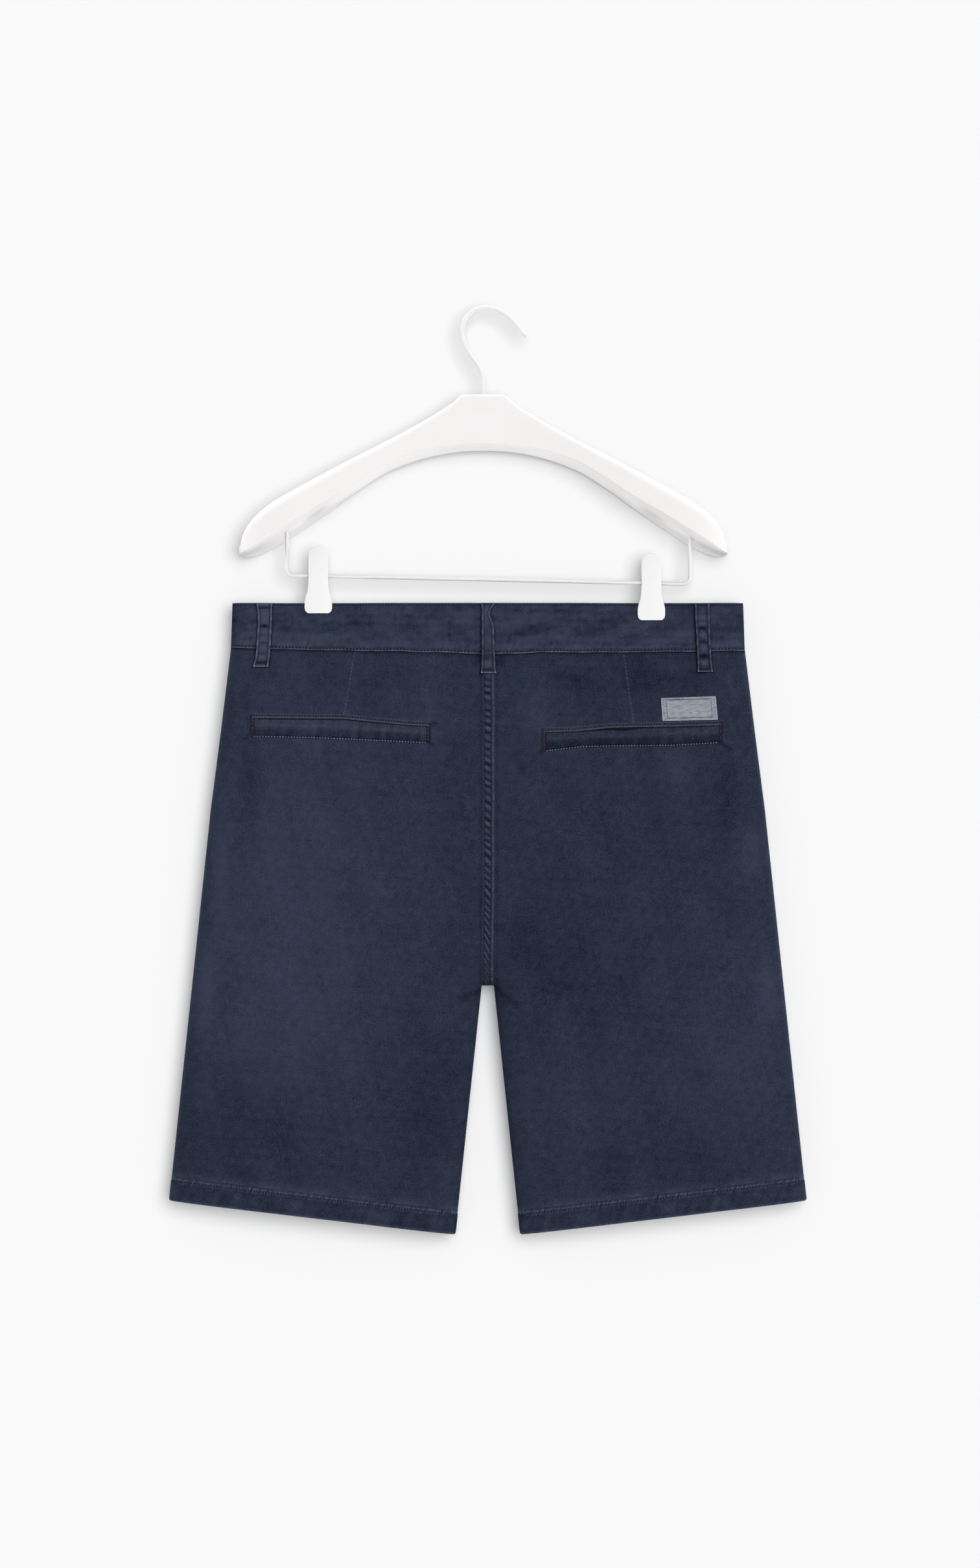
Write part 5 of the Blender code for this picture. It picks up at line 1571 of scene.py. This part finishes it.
hanger = {
    "x": -2.0,               # the shank of the hook and the middle of the hanger, mm from the frame's origin
    "reach": [0.0, 16.8, 20.5, 24.5, 36.0, 50.7, 79.2, 107.8,
              128.0, 150.6, 170.2, 184.0, 196.0, 204.4, 208.8, 210.6],
    "top": [73.5, 73.6, 75.4, 79.4, 87.5, 96.5, 112.0, 126.6,
            137.2, 149.4, 160.2, 168.6, 178.4, 188.8, 197.6, 205.0],
    "edge": [116.1, 116.6, 117.0, 117.6, 118.9, 121.3, 130.6, 147.6,
             161.0, 174.0, 186.0, 194.6, 202.4, 208.0, 210.2, 210.9],
    "bottom": [122.2, 122.8, 123.1, 123.6, 125.3, 128.6, 138.6, 155.8,
               170.4, 186.0, 199.0, 207.2, 212.4, 214.2, 213.6, 212.2],
    "thick": [15.0, 15.0, 15.2, 15.6, 16.4, 17.6, 21.0, 25.0,
              28.0, 31.0, 33.0, 32.0, 28.0, 21.0, 14.0, 7.0],
    "rounding": 0.30,        # of the thickness, along the top edges
    "edgeRound": 0.7,
    "spacing": 2.2,
}


def monotone(column, at):         # a smooth curve through the rows that never swings past them
    places, values = np.array(hanger["reach"]), np.array(hanger[column])
    run = np.diff(values) / np.diff(places)
    before, after = run[:-1], run[1:]
    inner = np.where(before * after > 0, 2 * before * after / (before + after + 1e-12), 0.0)
    slope = np.concatenate([[0.0], inner, [run[-1]]])
    near = np.clip(np.searchsorted(places, at) - 1, 0, len(places) - 2)
    span = places[near + 1] - places[near]
    t = (at - places[near]) / span
    return (values[near] * (1 + 2 * t) * (1 - t) ** 2 + values[near + 1] * t * t * (3 - 2 * t)
            + span * slope[near] * t * (1 - t) ** 2 - span * slope[near + 1] * t * t * (1 - t))


def arc(cx, cz, radius, first, last, steps):
    angles = np.radians(np.linspace(first, last, steps + 1))
    return [(cx + radius * math.cos(a), cz + radius * math.sin(a)) for a in angles]


def armRing(reach, x, shrink=1.0):        # a cut across an arm of the hanger
    columns = ("top", "edge", "bottom", "thick")
    top, edge, bottom, thick = (float(monotone(column, reach)) for column in columns)
    half = thick / 2
    soft = min(thick * hanger["rounding"], (edge - top) * 0.7)
    small = min(hanger["edgeRound"], (edge - top) * 0.2)
    shoulder = top + soft
    outline = [(-half, -edge + small * 1.4), (-half, -(edge * 0.6 + shoulder * 0.4)),
               (-half, -(edge * 0.3 + shoulder * 0.7))]
    outline += arc(-half + soft, -shoulder, soft, 180, 90, 8)
    outline += [(-half * 0.3 + soft * 0.2, -top), (half * 0.3 - soft * 0.2, -top)]
    outline += arc(half - soft, -shoulder, soft, 90, 0, 8)
    outline += [(half, -(bottom * 0.5 + shoulder * 0.5)), (half, -bottom + small * 1.4)]
    outline += arc(half - small, -bottom + small * 1.2, small, -10, -70, 3)
    outline += [(0.0, -(edge + bottom) / 2)]
    outline += arc(-half + small, -edge + small * 0.6, small, -110, -175, 3)
    middle = np.array((0.0, -(top + (edge + bottom) / 2) / 2))
    ring = (np.array(outline + outline[:1]) - middle) * shrink + middle
    return [(x, y, z) for y, z in ring]


def hangerBody():
    last = hanger["reach"][-1]
    steps = list(evenSteps(0.0, last, hanger["spacing"]))
    ends = [(last + 0.35, 0.82), (last + 0.6, 0.5), (last + 0.65, 0.0)]
    stations = [(-out, last, size) for out, size in reversed(ends)]
    stations += [(-reach, reach, 1.0) for reach in reversed(steps)]
    stations += [(reach, reach, 1.0) for reach in steps[1:]]
    stations += [(out, last, size) for out, size in ends]
    rings = [armRing(reach, hanger["x"] + out, size) for out, reach, size in stations]
    return ringedPiece("hanger_wood", rings, lacquer, "hanger_body", sharp=40)


def underside(x):
    reach = abs(x - hanger["x"])
    return float(monotone("edge", reach) + monotone("bottom", reach)) / 2


def tubeRings(path, radius, sides=20):    # a wire bent in the hanger's own plane, its ends rounded
    path = [Vector(spot) for spot in path]
    rings = []
    for i, spot in enumerate(path):
        along = (path[min(i + 1, len(path) - 1)] - path[max(i - 1, 0)]).normalized()
        outward = Vector((0, 1, 0)).cross(along)
        ring = [spot + radius * (math.cos(a) * outward + math.sin(a) * Vector((0, 1, 0)))
                for a in np.linspace(0, 2 * math.pi, sides + 1)]
        rings.append((spot, along, ring))

    def cap(index, way):
        spot, along, ring = rings[index]
        made = []
        for angle in (30, 60, 90):
            shift = along * way * radius * math.sin(math.radians(angle))
            size = math.cos(math.radians(angle))
            made.append([spot + shift + (point - spot) * size for point in ring])
        return made
    whole = cap(0, -1)[::-1] + [ring for _, _, ring in rings] + cap(-1, 1)
    return [[tuple(point) for point in ring] for ring in whole]


def smoothPath(points, count):
    points = np.array(points)
    path = []
    for i in range(len(points) - 1):
        before, near = points[max(i - 1, 0)], points[i]
        far, after = points[i + 1], points[min(i + 2, len(points) - 1)]
        slope, bend = far - before, 2 * before - 5 * near + 4 * far - after
        twist = 3 * near - before - 3 * far + after
        for t in np.arange(count) / count:
            path.append(0.5 * (2 * near + slope * t + bend * t * t + twist * t ** 3))
    return path + [points[-1]]


hook = {
    "radius": 1.7,
    "bends": [(-2.0, -79.0), (-2.2, -66.0), (-3.4, -56.5), (-7.0, -48.6), (-11.6, -42.2), (-15.8, -35.4),
              (-19.0, -27.6), (-20.3, -19.2), (-19.0, -11.4), (-15.6, -5.6), (-10.4, -1.2), (-5.2, 1.0),
              (0.0, 1.7), (5.4, 1.0), (11.0, -0.9), (18.8, -5.6), (25.0, -11.8), (30.2, -18.2),
              (34.2, -22.8)],
}
bar = {
    "radius": 1.6,
    "ends": [(-172.0, 230.4, 1), (176.1, 237.7, -1)],     # x and drop of each bend, and the way that it turns
    "bend": 6.0,
    "hole": 7.0,         # how far its ends go up into the hanger
}


def barPath():
    halves = []
    for end, low, way in bar["ends"]:
        halves.append([(end, 0.0, bar["hole"] - underside(end))])
        for a in np.radians(np.linspace(0, 90, 13)):
            x = end + way * bar["bend"] * (1 - math.cos(a))
            halves[-1].append((x, 0.0, -low + bar["bend"] * (1 - math.sin(a))))
    return halves[0] + halves[1][::-1]


clip = {
    "barDrop": [231.0, 237.0],       # the bar's height at each clip
    "side": [(25.8, 0.0), (25.2, 3.1), (23.4, 5.9), (20.7, 7.8), (17.6, 8.4), (-3.0, 8.4), (-9.0, 8.7),
             (-14.0, 9.5), (-18.0, 10.9), (-22.0, 11.8), (-27.5, 11.9), (-30.4, 11.2), (-32.0, 9.3),
             (-32.2, 8.2)],
    "thick": 2.2,
    "edge": 0.55,
    "barrelHalf": 6.0,
    "barrelWall": 0.7,
    "reach": grip["halfDepth"] + cloth["band"] / 2,       # from the middle plane to the cloth's face
}


def clipPlate(name, x, drop, face):       # a moulded plate, rounded at its top and flared at the mouth
    standOff = clip["reach"] + cloth["gap"]
    outline = [(half, rise) for rise, half in clip["side"]]
    outline += [(-half, rise) for half, rise in reversed(outline[1:])]
    bm = bmesh.new()
    plate = bm.faces.new([bm.verts.new((centreX + x + px, face * standOff, pz - drop)) for px, pz in outline])
    pulled = bmesh.ops.extrude_face_region(bm, geom=[plate])
    moved = [part for part in pulled["geom"] if isinstance(part, bmesh.types.BMVert)]
    bmesh.ops.translate(bm, vec=(0, face * clip["thick"], 0), verts=moved)
    bmesh.ops.recalc_face_normals(bm, faces=bm.faces)
    rims = [edge for edge in bm.edges if abs(edge.verts[0].co.y - edge.verts[1].co.y) < 0.01]
    bmesh.ops.bevel(bm, geom=rims, offset=clip["edge"], segments=3, profile=0.5, affect="EDGES", material=-1)
    bmesh.ops.scale(bm, vec=(mm, mm, mm), verts=bm.verts)
    return pieceFrom(bm, f"jaw_{name}", mouldedWhite, f"clip_{name}_jaw", sharp=32)


def clipBarrel(name, x, drop):            # the tube on the bar that both jaws turn on
    outer, half = clip["reach"], clip["barrelHalf"]
    inner = outer - clip["barrelWall"]
    outline = [(-half, outer - 0.2), (-half + 0.2, outer), (half - 0.2, outer), (half, outer - 0.2),
               (half, inner), (-half, inner)]
    bm = latheTurned([(along, 0.0, radius) for along, radius in outline], (1, 0, 0), 32, closed=True)
    bmesh.ops.translate(bm, vec=(centreX + x, 0.0, -drop), verts=bm.verts)
    bmesh.ops.scale(bm, vec=(mm, mm, mm), verts=bm.verts)
    return pieceFrom(bm, f"barrel_{name}", mouldedWhite, f"clip_{name}_barrel", sharp=40)


hookPath = [(x, 0.0, z) for x, z in smoothPath(hook["bends"], 6)]
hangerPieces = [hangerBody()]
for name, path, radius, node in (("hook_wire", hookPath, hook["radius"], "hanger_hook"),
                                 ("clip_bar_wire", barPath(), bar["radius"], "clip_bar")):
    rings = tubeRings(path, radius)
    hangerPieces.append(ringedPiece(name, rings, paintedSteel, node))
for sideName, x, drop in zip(("left", "right"), grip["x"], clip["barDrop"]):
    hangerPieces.append(clipPlate(f"{sideName}_back", x, drop, back))
    hangerPieces.append(clipPlate(f"{sideName}_front", x, drop, front))
    hangerPieces.append(clipBarrel(sideName, x, drop))
for obj in hangerPieces:          # its white sides throw no light back on the wall
    obj.visible_diffuse = False
print("hanger, hook, bar and clips made")


panelTrims = {           # the lots of stitches on each panel, and the strips
    "back_left": (["pocket_left", "hems_back"], onPocket["left"] + [hemStrips["left"]]),
    "back_right": (["pocket_right", "centre_seam", "side_tacks"],
                   onPocket["right"] + [fellCloth, hemStrips["right"]]),
    "front_left": (["fly", "front_pockets", "hems_front"], []),
    "front_right": ([], []),
}
for name, (lots, strips) in panelTrims.items():
    side = left if name.endswith("left") else right
    face = back if name.startswith("back") else front
for sideName in ("left", "right"):
    face = "back" if sideName == "left" else "front"


stage = {
    "wallY": 0.018,          # metres behind the hanger's middle plane
    "floorZ": -1.35,
    "size": 4.0,
    "wall": "#ffffff",
    "glow": 0.10,            # even light of a bright sweep, which the soft shadow darkens
    "matt": 0.935,
}


def oneSided(name, colour, glow, matt):   # paper sweep: matt and even, and clear when seen from behind
    material = bpy.data.materials.new(name)
    material.use_nodes = True
    tree = material.node_tree
    tree.nodes.clear()
    paper = [channel * matt for channel in linear(colour)[:3]] + [1.0]
    inSpace = addNode(tree, "TexCoord").outputs["Object"]
    fibre = addNode(tree, "TexNoise", {"Vector": inSpace, "Scale": 260.0, "Detail": 2.0})
    grainy = addNode(tree, "MapRange", {0: fibre.outputs["Fac"], 3: 0.995, 4: 1.005})
    diffuse = addNode(tree, "BsdfDiffuse", {"Color": paper})
    evened = addNode(tree, "Math", {0: grainy.outputs[0], 1: glow}, operation="MULTIPLY")
    light = addNode(tree, "Emission", {"Color": linear(colour), "Strength": evened.outputs[0]})
    both = addNode(tree, "AddShader", {0: diffuse.outputs[0], 1: light.outputs[0]})
    clear = addNode(tree, "BsdfTransparent")
    behind = addNode(tree, "NewGeometry").outputs["Backfacing"]
    mixed = addNode(tree, "MixShader", {0: behind, 1: both.outputs[0], 2: clear.outputs[0]})
    addNode(tree, "OutputMaterial", {"Surface": mixed.outputs[0]})
    return material


def backdrop(name, turn, spot, material):
    bm = bmesh.new()
    bmesh.ops.create_grid(bm, x_segments=1, y_segments=1, size=stage["size"])
    bmesh.ops.rotate(bm, matrix=Matrix.Rotation(math.radians(turn), 3, "X"), verts=bm.verts)
    bmesh.ops.translate(bm, vec=spot, verts=bm.verts)
    mesh = bpy.data.meshes.new(name)
    bm.to_mesh(mesh)
    bm.free()
    mesh.materials.append(material)
    obj = bpy.data.objects.new(name, mesh)
    bpy.context.scene.collection.objects.link(obj)
    obj.visible_diffuse = False
    obj.visible_glossy = False
    obj.visible_transmission = False
    obj.visible_shadow = False


backdrop("wall", 90, (0, stage["wallY"], stage["floorZ"] + stage["size"]),
         oneSided("paintedWall", stage["wall"], stage["glow"], stage["matt"]))
backdrop("floor", 0, (0, stage["wallY"] - stage["size"], stage["floorZ"]),
         oneSided("paleFloor", stage["wall"], stage["glow"], stage["matt"]))

lamps = {                # direction that the light travels, strength, softness in degrees, and what it lights
    "key": ((-0.24, 0.955, -0.17), 2.34, 52.0, None),
    "hangerUnder": ((0.0, 0.015, 1.0), 2.95, 26.0, "hanger"),
    "hangerOver": ((0.0, 0.015, -1.0), 1.45, 26.0, "hanger"),
    "hangerLeft": ((1.0, 0.015, 0.0), 1.8, 26.0, "hanger"),
    "hangerRight": ((-1.0, 0.015, 0.0), 1.2, 26.0, "hanger"),
    "backKey": ((0.45, -0.75, -0.5), 1.6, 40.0, None),
    "backFill": ((-0.4, -0.85, 0.2), 0.8, 60.0, None),
}
onlyHanger = bpy.data.collections.new("onlyHanger")
for obj in hangerPieces:
    onlyHanger.objects.link(obj)
for name, (way, strength, softness, lit) in lamps.items():
    light = bpy.data.lights.new(name, "SUN")
    light.energy = strength
    light.angle = math.radians(softness)
    lamp = bpy.data.objects.new(name, light)
    lamp.rotation_euler = Vector(way).to_track_quat("-Z", "Y").to_euler()
    bpy.context.scene.collection.objects.link(lamp)
    if lit:              # white cards held round the hanger, kept off the cloth and the wall
        lamp.light_linking.receiver_collection = onlyHanger

world = bpy.data.worlds.new("studio")
bpy.context.scene.world = world
world.use_nodes = True
tree = world.node_tree
tree.nodes.clear()
seen = addNode(tree, "LightPath").outputs["Is Camera Ray"]
ambient = addNode(tree, "MapRange", {0: seen, 3: 0.2, 4: 0.93})
sky = addNode(tree, "Background", {"Color": (1, 1, 1, 1), "Strength": ambient.outputs[0]})
addNode(tree, "OutputWorld", {"Surface": sky.outputs[0]})

photo = {                # metres, and the sensor in mm
    "distance": 4.0,
    "aim": (0.0034, -0.4106),
    "height": 1.3552,
    "sensor": 36.0,
}
camera = bpy.data.cameras.new("camera")
camera.sensor_width = photo["sensor"]
camera.lens = photo["sensor"] * photo["distance"] / photo["height"]
view = bpy.data.objects.new("camera", camera)
view.location = (photo["aim"][0], -photo["distance"], photo["aim"][1])
view.rotation_euler = (math.pi / 2, 0, 0)
bpy.context.scene.collection.objects.link(view)
bpy.context.scene.camera = view
bpy.context.scene.view_settings.view_transform = "Standard"
print("stage, lamps and camera set")
